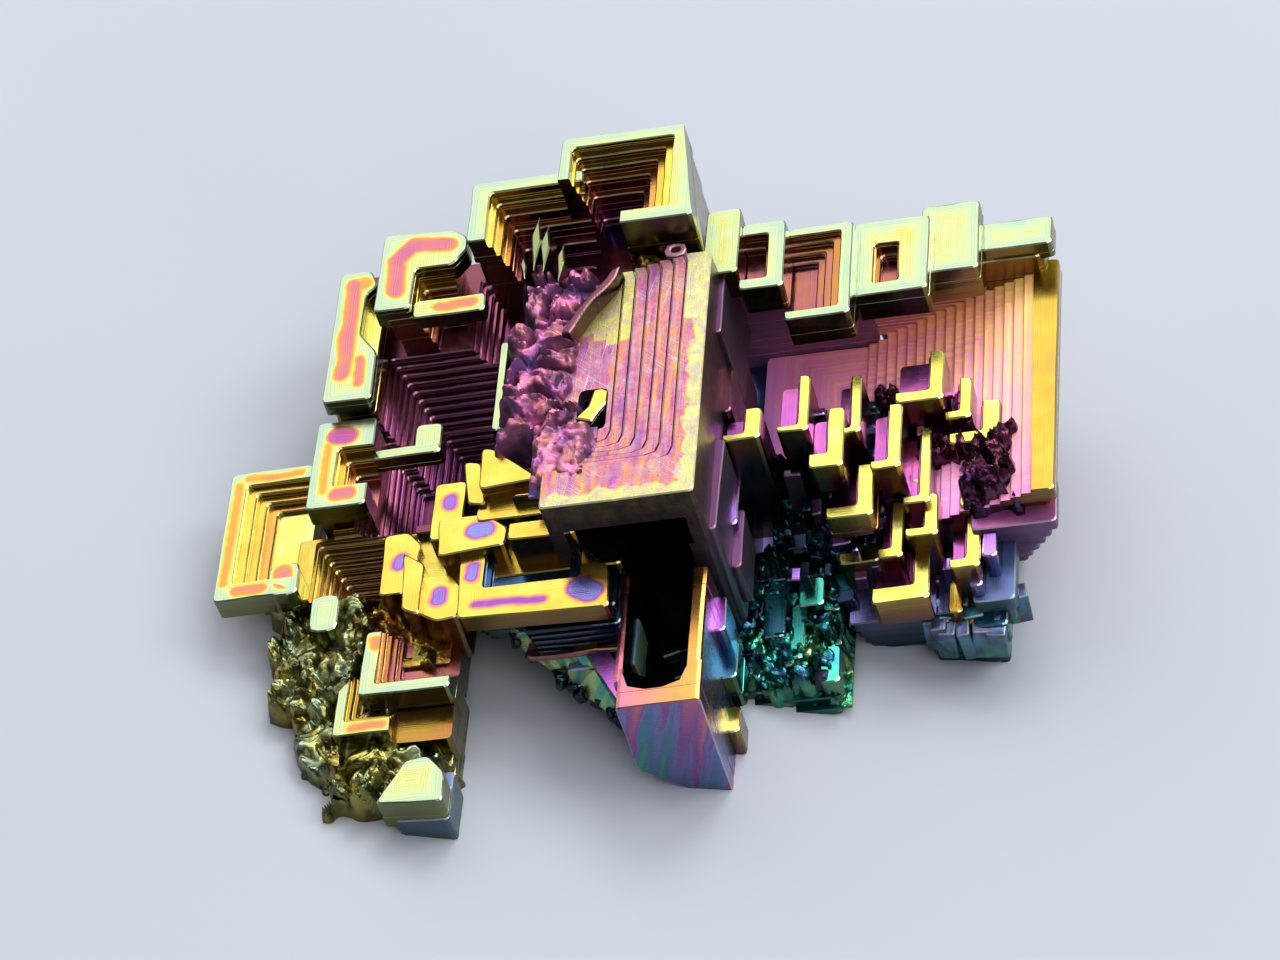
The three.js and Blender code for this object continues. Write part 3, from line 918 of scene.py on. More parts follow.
    def joined(self, name: str, trims: list[Crystal], table: float) -> Mesh:
        """Joins the sub-assemblies, and cuts the underside and the resting plane.

        Args:
            name: the name of the finished mesh.
            trims: solids that are cut out of the whole.
            table: half the edge of the block below the resting plane, mm.
        Returns:
            The finished mesh.
        """
        parts = self.grown_parts
        first = parts.objects[0]
        base = self.shelf("base")
        base.objects.link(first)
        parts.objects.unlink(first)
        self.combine(first, Join.ADD, parts)
        under = self.shelf("under")
        for k, crystal in enumerate(trims):
            rng = np.random.default_rng([SEED, 0, k])
            self.place(f"under_{k}", crystal.surface(rng), under, crystal.dress())
        corners = np.array([[x, y, z] for z in (-table, 0) for x, y in
                            ((-table, -table), (table, -table), (table, table), (-table, table))])
        ring = np.arange(4)
        beside = (ring + 1) % 4
        block = Surface(corners * MM, np.stack([ring, beside, beside + 4, ring + 4], 1),
                        (ring[::-1], ring + 4), np.zeros(4))
        rest = Dress(np.zeros(3), np.ones(3), Coat(inward=0.06), Finish.GROWTH)
        self.place("table", block, under, rest, in_part=True)
        self.combine(first, Join.CUT, under)
        whole = self.settled(first, "whole")
        self.cleared([base, parts, under])
        mesh = self.without_crumbs(whole, name)
        mesh.materials.clear()
        finish = np.zeros(len(mesh.polygons), np.float32)
        mesh.attributes["finish"].data.foreach_get("value", finish)
        mesh.polygons.foreach_set("material_index", np.rint(finish).astype(np.int32))
        mesh.set_sharp_from_angle(angle=SHARP)
        mesh.polygons.foreach_set("use_smooth", np.rint(finish) == Finish.GROWTH.value)
        mesh.attributes.remove(mesh.attributes["finish"])
        return mesh


# ---- coats

RIM = Coat(0.03, inward=0.09, deepen=0.05, shade=0.67)
STRAW_RIM = Coat(0.07, inward=0.07, deepen=0.04, shade=0.65)
STEPS = Coat(0.14, inward=0.03, deepen=0.07, shade=0.86, painted_depth_shade=0.05)
# painted shade: the deep funnels are dark and darken further towards their bottom
DEEP_SHADE = Coat(0.47, deepen=0.012, shade=0.5, painted_depth_shade=0.1, ripple=1.6)
BROWN_STEPS = Coat(0.20, deepen=0.08, shade=0.8, painted_depth_shade=0.06, ripple=1.0)
LOW_STEPS = Coat(0.20, deepen=0.035, shade=0.62, painted_depth_shade=0.06, ripple=1.0)
GOLD = Coat(0.215, deepen=0.03, drift=(0.0, 0.004), shade=0.82)
SMOKE = Coat(0.70, deepen=0.03, shade=0.4, ripple=1.5)
ROOF_COAT = Coat(0.41, deepen=0.03, matte=0.35, shade=0.82)
MAUVE = Coat(0.47, deepen=0.035, matte=0.5, shade=1.1, painted_depth_shade=0.17)
CURL = Coat(0.45, deepen=0.10, matte=0.6, shade=1.1, painted_depth_shade=0.3)
BLUE_VIOLET = Coat(0.66, inward=0.04, deepen=0.03, shade=0.75, ripple=0.8)
LILAC = Coat(0.60, deepen=0.01, shade=1.5)
BACK_WALL = Coat(0.46, deepen=0.006, shade=1.5, painted_depth_shade=0.0, ripple=0.8, matte=0.9)
# painted light: a high shade that grows with depth brightens the right funnel's floor, which lies in the
# shadow of the back wall
FLOOR = Coat(0.45, deepen=0.0, drift=(-0.012, 0.01), shade=1.6, painted_depth_shade=-0.36, matte=0.8, ripple=1.6)
EAST = Coat(0.245, deepen=0.03, shade=0.7, painted_depth_shade=0.02)
FLOOR_END = Coat(0.53, deepen=0.01, shade=1.2, painted_depth_shade=0.0, matte=0.5)
SLATE = Coat(0.72, deepen=0.02, shade=1.0, matte=0.5)
BRONZE = Coat(0.25, deepen=0.03, shade=0.5, painted_depth_shade=0.08, ripple=1.2)
COLUMN = Coat(0.17, inward=0.03, deepen=0.12, painted_depth_shade=0.3)
COLUMN_INSIDE = Coat(0.50, deepen=0.03, shade=1.1)
TEAL = Coat(0.80, deepen=0.03, shade=0.8)
TEAL_DARK = Coat(0.78, deepen=0.03, shade=0.3)
# painted glints: small teal crystals brightened by a shade of 1.5
MINT_GLINT = Coat(0.86, deepen=0.02, shade=1.5)
SHARD = Coat(0.10, deepen=0.05, shade=0.34, painted_depth_shade=0.2)
SHARD_BRIGHT = Coat(0.19, deepen=0.05, shade=0.8, painted_depth_shade=0.0)
OLIVE = Coat(0.11, deepen=0.0, shade=0.5, painted_depth_shade=0.15)
RUST = Coat(0.31, deepen=0.06, shade=0.55, painted_depth_shade=0.14, ripple=1.2)
DUSK = Coat(0.54, deepen=0.02, matte=0.5, shade=0.5)
# painted shade: near-black film for the cavity and the keel's hollow, and for small black crystals
BLACK_AND_HOLLOW_SHADE = Coat(0.72, deepen=0.02, shade=0.12)
KEEL_RIM = Coat(0.36, deepen=0.025, drift=(-0.03, 0.0), shade=0.9, painted_depth_shade=0.0)
BLADE = Coat(0.54, deepen=0.035, drift=(-0.055, 0.0), shade=1.25, painted_depth_shade=0.0)
SHADE_BROWN = Coat(0.44, deepen=0.04, shade=0.25)
# painted shade: the dark band between the columns
DARK_SHADE = Coat(0.50, deepen=0.03, shade=0.28)


# ---- sub-assemblies

@dataclass(frozen=True)
class Assembly:
    """Crystals that grew together, which are made as one mesh."""

    def crystals(self) -> list[Crystal]:
        """The crystals, the carrying one first."""
        raise NotImplementedError

    def pits(self) -> list[Funnel]:
        """Funnels that cut through several of the crystals."""
        return []

    def grow(self, forge: Forge) -> None:
        """Makes the crystals in a forge."""
        forge.add(type(self).__name__, self.crystals(), self.pits())


@dataclass(frozen=True)
class Crust:
    """Rough growth: many small tilted crystals scattered over an area.

    `levels` is the range of w of their tops, which fall by `slope` along u and v,
    and `sizes` the range of their edges; `by_size` is how far their size decides
    the level. `shear` moves them along v for each millimetre along u. Each takes
    one of the coats.
    """
    area: Area
    levels: Pair
    count: int
    sizes: Pair
    coats: tuple[Coat, ...]
    seed: int
    depth: float = 2.0
    tilt: float = 6.0
    slope: Pair = (0, 0)
    shear: float = 0.0
    by_size: float = 0.6
    finish: Finish = Finish.GROWTH

    def crystals(self) -> list[Crystal]:
        """The small crystals, larger ones lower down.

        Returns:
            The crystals.
        """
        rng = np.random.default_rng([SEED, CRUST_SEED + self.seed])
        u0, u1, v0, v1 = self.area
        size = rng.uniform(*self.sizes, (self.count, 2))
        share = (size.mean(1) - self.sizes[0]) / (self.sizes[1] - self.sizes[0])
        u = rng.uniform(u0, u1, self.count)
        v = rng.uniform(v0, v1, self.count)
        depth = self.by_size * share + (1 - self.by_size) * rng.uniform(size=self.count)
        top = self.levels[0] + (self.levels[1] - self.levels[0]) * depth
        top = top + self.slope[0] * (u - u0) + self.slope[1] * (v - v0)
        pick = rng.integers(0, len(self.coats), self.count)
        v = v + self.shear * (u - u0)
        return [
            Crystal((a - du / 2, a + du / 2, b - dv / 2, b + dv / 2), w, w + self.depth, self.coats[c],
                    radius=0.08, ledges=1, wobble=0.0, tilt=self.tilt, finish=self.finish)
            for a, b, w, (du, dv), c in zip(u, v, top, size, pick)
        ]


@dataclass(frozen=True)
class BackRow(Assembly):
    """Six hopper crystals in a row, each a step lower than the one to its right."""
    foot: float = 6.5
    highest: Area = (-8.8, -0.8, -26.7, -19.3)
    highest_top: float = -1.7
    second: Area = (-14.1, -7.6, -25, -20.4)
    second_top: float = -0.8
    third: tuple = ((-19.4, -22.8), (-15.3, -22.6), (-14.5, -22), (-14.4, -20.9), (-15.1, -19.8),
                    (-17.3, -19.8), (-17.3, -16.7), (-19.4, -16.7))
    fourth: tuple = ((-22.1, -21.2), (-20.3, -21.2), (-19.8, -20), (-20.4, -19.3), (-20.4, -16.2),
                     (-19.3, -14.7), (-19.3, -11.1), (-22.1, -11.1))
    fifth: Area = (-22.6, -19.2, -10.7, -4.2)
    lowest: Area = (-27.7, -22.9, -8.7, 0.7)

    def crystals(self) -> list[Crystal]:
        """The six crystals, and the bars and small plates that bridge the funnel.

        Returns:
            The crystals.
        """
        highest = Crystal(
            self.highest, self.highest_top, self.foot, RIM, 4, Sides(back=0.7),
            (Funnel((-8.1, -2.2, -25.9, -20.3), (0.6, 0.6, 0.7, 1, 1.5, 1.6), Sides(0.15, 0.6, 0.3),
                    coat=STEPS),),
            (Crystal((-9.5, -4.9, -23.4, -18.5), self.highest_top - RUN_UP, 4.6, STEPS),
             Crystal(((-1.8, -27.5), (0.5, -27.5), (0.5, -19), (-0.8, -19)), -2.3, 7, RIM)))
        second = Crystal(
            self.second, self.second_top, self.foot, RIM, 4, Sides(left=0.2, back=0.7),
            (Funnel((-13, -7.5, -24.1, -20.4), (0.7, 0.7, 0.9, 1.3, 1.5), Sides(left=0.3, back=0.3),
                    "rf", STEPS),))
        third_body = Crystal(
            (-19, -15.2, -22.3, -16.7), 0.9, 4.4, STEPS, 2, Sides(left=0.4, back=0.5),
            (Funnel((-17.3, -14, -19.8, -17.6), (0.7, 0.7, 0.8, 0.9), Sides(left=0.25, back=0.4), "rf",
                    BROWN_STEPS),))
        fifth = Crystal(
            self.fifth, 2.3, self.foot, RIM, 3, Sides(left=0.45, front=0.1),
            (Funnel((-21.2, -19.2, -8.6, -5.8), (0.7, 0.7, 0.7), Sides(left=0.4, back=0.5), "r",
                    BROWN_STEPS),),
            pools=(Pool((-21.3, -9.6), (-20.9, -9.5), 0.65, 0.38),
                   Pool((-20.9, -5.1), (-20.2, -5.1), 0.4), Pool((-21.9, -8.8), (-21.9, -5.4), 0.2, 0.22)))
        lowest = Crystal(
            self.lowest, 3.4, 4.9, RIM,
            funnels=(Funnel((-26.7, -22.9, -7.7, -0.5), (0.35, 0.35, 0.35, 0.35),
                            Sides(left=0.55, back=0.45, front=0.1), "r", BROWN_STEPS),),
            pools=(Pool((-26.6, -8.2), (-23.6, -8.2), 0.2, 0.26),
                   Pool((-27.2, -7.7), (-27.2, -0.6), 0.2, 0.24), Pool((-26.4, 0.1), (-25, 0.1), 0.3)))
        return [
            highest, second,
            Crystal(self.third, 0.2, 1.5, RIM, pools=(
                Pool((-18.3, -18.2), (-18.4, -20.6), 0.45), Pool((-18.4, -20.6), (-17.5, -21.75), 0.5),
                Pool((-17.5, -21.75), (-15.5, -21.4), 0.5))),
            third_body,
            Crystal(self.fourth, 1.2, 2.3, RIM, pools=(
                Pool((-21.2, -20.2), (-21.2, -13.2), 0.4), Pool((-20.2, -14.2), (-20.1, -12.4), 0.25),
                Pool((-21.1, -20.2), (-20.6, -20.3), 0.45, 0.2))),
            fifth, lowest,
            Crystal((-21.8, -19.5, -20.8, -11.4), 2.1, 6.8, STEPS, 3, Sides(left=0.5, back=0.5)),
            Crystal((-17.3, -13.1, -17.7, -16.4), 0.7, 1.7, STRAW_RIM,
                    pools=(Pool((-15.7, -17.05), (-13.9, -17.05), 0.3, 0.28),)),
            Crystal((-19.2, -17.5, -13.3, -10.6), 1.8, 3.2, STRAW_RIM, radius=0.5,
                    pools=(Pool((-18.9, -12.8), (-18.8, -11.4), 0.25, 0.26),)),
            Crystal((-19.4, -15.5, -8.7, -8), 2.9, 4, STRAW_RIM),
            Crystal((-17, -15.5, -10.2, -8), 2.9, 4, STRAW_RIM),
            Crystal((-24.6, -22.9, -1.5, 0.8), 3.4, 4.9, RIM, radius=0.5,
                    pools=(Pool((-23.75, -0.9), (-23.75, -0.1), 0.5),)),
            Crystal((-26.6, -22.8, -7.8, -0.2), 4.7, 6.5, STEPS, 2, Sides(0.7, 0, 0.7, 0.4)),
            Crystal((-22.4, -20.8, 0.1, 2.7), 4.6, 6.6, RIM, radius=0.5),
        ]


@dataclass(frozen=True)
class LeftFunnel(Assembly):
    """The deep funnel behind the back row, its saddle, and the lower funnel beside it."""
    top: float = 3.9

    def crystals(self) -> list[Crystal]:
        """The four bodies that the funnels cut.

        Returns:
            The crystals.
        """
        return [
            Crystal((-21.5, -7.7, -23.5, -3), self.top, 10.2, SHADE_BROWN, 4, Sides(0.8, 0, 0.8, 0.3)),
            Crystal((-9, -1, -23.5, -17), self.top, 10.2, SHADE_BROWN, 4, Sides(back=0.8)),
            Crystal((-23.5, -5, -4, 0.5), 4.4, 7.9, LOW_STEPS, 2, Sides(left=0.6, front=0.8)),
            Crystal((-24.6, -14.6, -2, 4.6), 6.2, 8.4, BRONZE, 3, Sides(left=0.7, front=0.7),
                    finish=Finish.GROWTH),
        ]
    # `shade` is how bright the film is: set low in hollows it paints shade, and set     high on faces that lie in shadow it paints light. The field after it is how     much of that brightness is lost for each millimetre down, a painted shade in     funnels and creases, and a painted light where it is below 0.

    def pits(self) -> list[Funnel]:
        """The deep funnel, the saddle behind it and the lower funnel.

        Returns:
            The funnels.
        """
        return [
            Funnel((-19.4, -10.8, -16.6, -5), (0.36,) * 13, Sides(0.26, 0.03, 0.34, 0.03), coat=DEEP_SHADE,
                   top=self.top),
            Funnel((-20.2, -12, -11.6, -3.6), (0.3,) * 12, Sides(0.22, 0.03, 0.24, 0.05), coat=DEEP_SHADE,
                   top=self.top),
            Funnel((-14.6, -7.8, -22, -16), (0.28,) * 5, Sides(0.3, 0.2, 0.35), coat=DEEP_SHADE, top=self.top),
            Funnel((-23, -16.6, -4.2, 4.2), (0.4,) * 10, Sides(0.22, 0.03, 0.25), coat=LOW_STEPS, top=3.4),
        ]


@dataclass(frozen=True)
class MiddleCrystal(Assembly):
    """A worn roof of shallow steps over a deep cavity that opens to the front."""
    growths: tuple = (
        Growth((-12.3, -6.6, -15.6, -5.6), 0.2, 4, MAUVE, wave=1.9, relief=1.4),
        Growth((-11.9, -6.4, -20.4, -13.4), 0.7, 4.4, MAUVE, wave=2.2, relief=1.6),
        Growth((-9.4, -5.9, -6.4, -1.8), -0.2, 0.9, CURL, wave=0.9, relief=0.4, blend=0.2),
        Growth((-5.4, -1, -19.6, -17.4), 0.6, 3, RUST, wave=1, relief=0.9),
    )
    shards: tuple = (
        (((-10.7, -21.4), (-10.45, -22.9), (-10.1, -21), (-10.3, -18.6)), 0.3),
        (((-10.1, -20.8), (-9.75, -22.2), (-9.5, -20.4), (-9.7, -18.4)), 0.5),
        (((-9.4, -20.2), (-9.15, -21), (-8.95, -19.8), (-9.1, -18.2)), 0.9),
        (((-11.2, -19.8), (-11, -20.6), (-10.8, -19.6), (-10.95, -18.6)), 1),
    )
    ridge: tuple = ((-8.1, -13), (-7.6, -12.9), (-6.5, -15), (-5.4, -16.9), (-5.2, -17.6), (-5.7, -17.4),
                    (-6.9, -15.2))
    broken: Crust = Crust((-8, -5.3, -13.5, -12.9), (0, 0.5), 26, (0.1, 0.3), (SHADE_BROWN, DUSK),
                          seed=3, depth=1.6, tilt=14.0, shear=-1.75)
    area: Area = (-8.5, 0, -18, 0)
    foot: float = 11.4
    hole: Area = (-7.2, -5.5, -9.4, -6.3)
    chip: tuple = ((-7.3, -7.2), (-6.6, -8.1), (-6.3, -9.3), (-5.5, -9.5), (-5.6, -8.3), (-6, -7.7),
                   (-6.4, -6.9))
    worn_corner: tuple = ((-9.5, -19), (-4.9, -19), (-5.6, -17.4), (-7, -15), (-8, -12.9),
                          (-9.5, -12))
    chamfer: tuple = ((-1.3, -19), (1, -19), (1, -16.4))

    def crystals(self) -> list[Crystal]:
        """The roof, the chip in its broken hole and the rough lump with its thin bright wall.

        Returns:
            The crystals.
        """
        roof = Crystal(
            self.area, 0.0, self.foot, ROOF_COAT, finish=Finish.ROOF, tilt=0.0,
            funnels=(Funnel((-8.5, -1.35, -17, -2.7), (0.17,) * 6, Sides(right=0.76, front=0.5), "lb",
                            ROOF_COAT, groove=0.08, radius=0.8, ledges=0),),
            # the cavity under the roof, its walls in a near-black film as painted shade
            cuts=(Crystal((-7.6, -0.9, -9.5, RUN_OUT), 2, 10.4, BLACK_AND_HOLLOW_SHADE, 4, Sides(right=0.3, front=-1)),
                  Crystal(self.hole, -0.5, 2.4, DUSK, radius=0.4),
                  Crystal(self.worn_corner, -0.5, 1.6, DUSK),
                  Crystal(self.chamfer, -0.5, 1, MAUVE)))
        return [
            roof, Crystal(self.chip, 0.95, 1.3, SHARD_BRIGHT, tilt=3, radius=0.05),
            Crystal(self.chip, 1.2, 2.6, SHADE_BROWN, radius=0.05),
            Crystal(self.ridge, -0.12, 1.7, SHADE_BROWN, radius=0.05, wobble=0.12),
            Crystal((-11.6, -8, -15, -5.8), 3.2, 9, DUSK, finish=Finish.GROWTH),
            Crystal((-11.2, -7.6, -19.6, -14), 3.8, 9, DUSK, finish=Finish.GROWTH),
            Crystal((-2.7, -1.5, -18.9, -17.9), 0, 1.5, CURL, radius=0.5,
                    funnels=(Funnel((-2.4, -1.8, -18.65, -18.15), (0.5,), radius=0.3),)),
            Crystal((-12.5, -12, -15.3, -8.6), 2.4, 9, STRAW_RIM),
            Crystal((-12.5, -10.2, -9.1, -8.6), 2.4, 9, STRAW_RIM),
            *self.growths, *self.broken.crystals(),
            *(Crystal(area, top, top + 5, SHARD, tilt=5, radius=0.1) for area, top in self.shards),
        ]


@dataclass(frozen=True)
class GoldPlates(Assembly):
    """Flat gold plates in front of the deep funnel."""

    def crystals(self) -> list[Crystal]:
        """The eight plates.

        Returns:
            The crystals.
        """
        return [
            Crystal(((-15.1, -3), (-12.5, -3), (-11.1, -1.8), (-11.2, -0.6), (-14.9, -0.3)),
                    3, 6, GOLD, pools=(Pool((-12.9, -1.8), (-12.4, -1.9), 0.55, 0.45),)),
            Crystal(((-12.7, -6.9), (-12, -6.7), (-9.2, -4.1), (-12.6, -3.8)), 1.9, 3.2, GOLD),
            Crystal(((-13.9, -6.7), (-12.9, -6.5), (-12.4, -3.3), (-13.4, -3.5)), 2.6, 4.5, GOLD),
            Crystal((-12.9, -9, -5.6, -2.4), 2.9, 6, GOLD),
            Crystal((-15.6, -13.8, -5.8, -1.7), 3.2, 6, GOLD,
                    pools=(Pool((-14.6, -4.5), (-14.6, -4.1), 0.3, 0.4),)),
            Crystal(((-18.4, -3.2), (-17, -3.2), (-16.2, -2.2), (-16.9, 1.1), (-18.4, 1.1)), 4, 8, GOLD,
                    pools=(Pool((-17.3, -1.4), (-17.4, -0.9), 0.3, 0.4),)),
            Crystal(((-17.2, -1.6), (-15.9, -0.6), (-15.9, 3), (-16.9, 2.5)), 3.8, 8, GOLD),
            Crystal(((-16.1, 0), (-14.5, 0), (-13.8, 1), (-13.8, 3.1), (-15, 3.3), (-16.2, 2.5)),
                    4.2, 7.6, GOLD, pools=(Pool((-15, 1.2), (-15, 1.8), 0.35, 0.42),)),
        ]


@dataclass(frozen=True)
class FrontCrystal(Assembly):
    """The gold crystal in front of the cavity, with its wide lower lip."""
    lip: tuple = ((-13.8, -0.6), (-12.4, -0.6), (-12.3, -0.2), (-8.3, -1.7), (-5.4, 1.5), (-5.2, 4.3),
                  (-13.6, 3.9))

    def crystals(self) -> list[Crystal]:
        """The upper hopper, the lip, and the neck and ledge below.

        Returns:
            The crystals.
        """
        return [
            Crystal(self.lip, 3.5, 4.7, GOLD, pools=(
                Pool((-12.95, 0.3), (-12.95, 1), 0.3, 0.42), Pool((-6.9, 2.7), (-6.3, 3.1), 0.7, 0.44),
                Pool((-12.6, 3.1), (-8.9, 3.2), 0.22, 0.36)),
                    funnels=(Funnel((-12.3, -7, -2.5, 1.9), (0.5, 0.5), Sides(0.3, 0.7, 0, 0.1),
                                    coat=SMOKE),)),
            Crystal((-10.8, -7, -3.4, -0.1), 2.2, 6, GOLD,
                    funnels=(Funnel((-10.8, -7.9, -3.2, -1.3), (0.6, 0.6, 0.6), Sides(right=0.6), "l",
                                    SMOKE),)),
            Crystal((-13.2, -5.2, -2, 3.4), 4.5, 6.6, SMOKE, 5, Sides(0.1, 0.05, 0, 0.12), wobble=0.12),
            Crystal((-10.3, -5, -2, 4.2), 4.9, 6.4, SMOKE, 5, Sides(0.1, 0.05, 0, -0.12), wobble=0.16),
            Crystal((-10.4, -5, -2, 4.9), 6.25, 6.6, KEEL_RIM, wobble=0.1),
        ]


@dataclass(frozen=True)
class Keel(Assembly):
    """A blade that reaches down to the resting plane, hollow from above, with a stair behind it."""
    blade: tuple = ((-5, 5.4), (-0.4, 5.4), (-0.4, 18), (-1.2, 14.2), (-3, 12.4), (-5, 10.6))
    back: tuple = ((-5.2, 5.4), (-0.4, 5.4), (-0.4, 14.5), (-3, 13.2), (-5.2, 11.2))
    skin: Sheet = Sheet(
        upper=((-11.2, 3.2, 5.4), (-9.2, 4.2, 6.4), (-7.2, 4.8, 6.4), (-5.1, 8.6, 6.2), (-0.45, 9.85, 5.8)),
        lower=((-11.3, 3.6, 6.2), (-8.4, 5.2, 8.6), (-5.6, 6.8, 10.8), (-3, 8.3, 12.8), (-0.5, 9.6, 14.9)),
        coat=BLADE, thick=2.2, finish=Finish.KEEL)
    teeth: Crust = Crust((-11.2, -1.4, 3.1, 3.8), (5.75, 6.15), 40, (0.3, 0.8), (BLACK_AND_HOLLOW_SHADE, TEAL_DARK, BLACK_AND_HOLLOW_SHADE),
                         seed=4, depth=0.75, tilt=16, slope=(0.81, 0), shear=0.56)

    def crystals(self) -> list[Crystal]:
        """The hollow blade and its back wall, its skin to the left and the teeth along it.

        Returns:
            The crystals.
        """
        # the blade's hollow, its walls in a near-black film as painted shade
        hollow = (
            Crystal((-4.75, -1.2, -1, 8.7), 4.8, 9.2, BLACK_AND_HOLLOW_SHADE, radius=1.3),
            Crystal((-4.5, -1.3, 1.5, 7.6), 4.8, 10.8, BLACK_AND_HOLLOW_SHADE, radius=1.2),
            Crystal((-4.2, -1.5, 1.9, 6), 4.8, 12.2, BLACK_AND_HOLLOW_SHADE, radius=1.1),
        )
        stair = {"standing": True, "finish": Finish.KEEL}
        return [
            Crystal(self.back, 0.5, 8, KEEL_RIM, cuts=hollow, **stair),
            Crystal(self.blade, 7, 9.8, KEEL_RIM, cuts=hollow, **stair),
            replace(self.skin, cuts=hollow),
            Crystal(((-8.4, 7.2), (-4.6, 7.2), (-4.6, 10.4), (-8.4, 8.4)), 2, 5.2, SLATE, **stair),
            Crystal(((-11, 5.6), (-6, 5.6), (-6, 9.5), (-9, 8), (-11, 6.4)), -4, 3.6, SLATE,
                    **stair),
            *self.teeth.crystals(),
        ]


@dataclass(frozen=True)
class LeftWing(Assembly):
    """Two hoppers one below the other, on the rough mass that carries them, and a white tip."""
    growths: tuple = (
        Growth((-25.8, -18.4, -1.6, 7.6), 5, 8.6, OLIVE, wave=2.3, relief=1.3),
        Growth((-24.2, -16.4, 4, 12), 5.6, 9.4, OLIVE, wave=2.4, relief=1.3),
        Growth((-21.8, -14.1, 8.4, 14), 6.1, 10.4, OLIVE, wave=2.2, relief=1.2),
        Growth((-21.4, -14.2, -1.2, 5.4), 5.6, 8, BRONZE, wave=1.8),
    )

    def crystals(self) -> list[Crystal]:
        """The hoppers, the mass and the tip.

        Returns:
            The crystals.
        """
        upper = Crystal(
            (-19.2, -14.1, 2.8, 7.3), 5, 7.8, RIM,
            funnels=(Funnel((-18.3, -14.1, 2.8, 6.5), (0.28,) * 5, Sides(left=0.25, front=0.25), "rb",
                            RUST),),
            pools=(Pool((-18.6, 3.4), (-18.6, 3.8), 0.3, 0.3),))
        lower = Crystal(
            (-20.5, -14.2, 5.4, 9.6), 5.4, 8.6, STRAW_RIM,
            funnels=(Funnel((-19.9, -14.1, 5.4, 8.6), (0.26,) * 5, Sides(left=0.25, front=0.3), "rb",
                            BRONZE),),
            pools=(Pool((-19.4, 9.1), (-17.8, 9.1), 0.2, 0.28),),
            cuts=(Crystal((-17.4, -14, 7, 10), 5.4 - RUN_UP, 6.5, BRONZE),))
        rough = {"coat": OLIVE, "layers": 3, "finish": Finish.GROWTH}
        tip = ((-16.5, 11.2), (-15.2, 11), (-14.2, 12.2), (-14.2, 14.2), (-17.9, 13.9))
        return [
            Crystal((-21.4, -14.4, 5, 10.4), 7.8, 9.6, flare=Sides(left=0.7, front=0.2), **rough),
            Crystal((-23.6, -19.5, 0.5, 6.2), 7.4, 9, flare=Sides(left=0.7, front=0.4), **rough),
            Crystal((-19.2, -14.4, 8, 12.6), 8.4, 10.4, flare=Sides(left=0.8, front=0.2), **rough),
            upper, lower,
            *self.growths,
            Crystal(tip, 6.1, 8.2, RIM),
            Crystal(((-17, 11.2), (-14.2, 11), (-14.2, 14.2), (-17.2, 14)), 7.6, 10.4, SLATE),
            Crystal(((-16.2, 11.2), (-14.2, 11), (-14.2, 14.2), (-16.2, 14.1)), 9, 14, OLIVE),
        ]


@dataclass(frozen=True)
class Skyline(Assembly):
    """Thin crystals on a back wall, which overhang the stepped floor of the right funnel."""

    def crystals(self) -> list[Crystal]:
        """The back walls and the six crystals that they carry.

        Returns:
            The crystals.
        """
        return [
            Crystal((-1.2, 6.9, -22.4, -21), 3.6, 12.8, BACK_WALL, 8, Sides(back=0.19)),
            Crystal((6.9, 13.6, -23.2, -21.4), 6, 13.4, BACK_WALL, 8, Sides(back=0.25)),
            Crystal((13.5, 17, -23, -21.4), 7, 13.4, LOW_STEPS, 4, Sides(right=0.6, back=0.4)),
            Crystal((-0.9, 1.1, -22.6, -17.6), 1.5, 3.6, STRAW_RIM),
            Crystal((1.1, 3.6, -21.7, -16.6), 2, 4, RIM,
                    funnels=(Funnel((1.1, 2.6, -20.8, -17.4), (0.8, 0.7), Sides(right=0.3, back=0.3), "l",
                                    RUST),)),
            Crystal((3.5, 7.2, -21.9, -14.9), 3, 5.2, RIM,
                    funnels=(Funnel((3.5, 6.5, -21.3, -15.5), (0.35, 0.35, 0.35, 0.35),
                                    Sides(right=0.5, back=0.4, front=0.1), "l", RUST),)),
            Crystal((7, 11.3, -22.7, -17), 4, 6.1, RIM,
                    funnels=(Funnel((8.2, 9.6, -20.9, -17.9), (0.6, 0.6), Sides(0.3, 0.2, 0.4),
                                    coat=RUST),)),
            Crystal((10.6, 13.9, -24.4, -19.1), 5, 7.4, RIM, 2, Sides(back=0.6)),
            Crystal((13.7, 17.8, -23.6, -21.5), 6.2, 10, RIM, 3, Sides(right=0.6, back=0.4)),
        ]


@dataclass(frozen=True)
class RightFunnel(Assembly):
    """The floor of the right funnel: long steps that fall to the left."""
    area: Area = (0.2, 17.7, -22.4, -4.8)
    top: float = 8.2
    foot: float = 16.8
    drop: float = 0.21
    count: int = 18
    tread: float = 0.6

    def crystals(self) -> list[Crystal]:
        """The one crystal.

        Returns:
            The crystals.
        """
        area = (self.area[0], self.area[1] - 1.3, self.area[2] + 0.8, self.area[3])
        floor = Funnel(area, (self.drop,) * self.count, Sides(right=self.tread, back=0.03), "lf", FLOOR,
                       ledges=1)
        return [Crystal(self.area, self.top, self.foot, EAST, 8, Sides(0, 0.42, 0.5, 0.4), (floor,))]


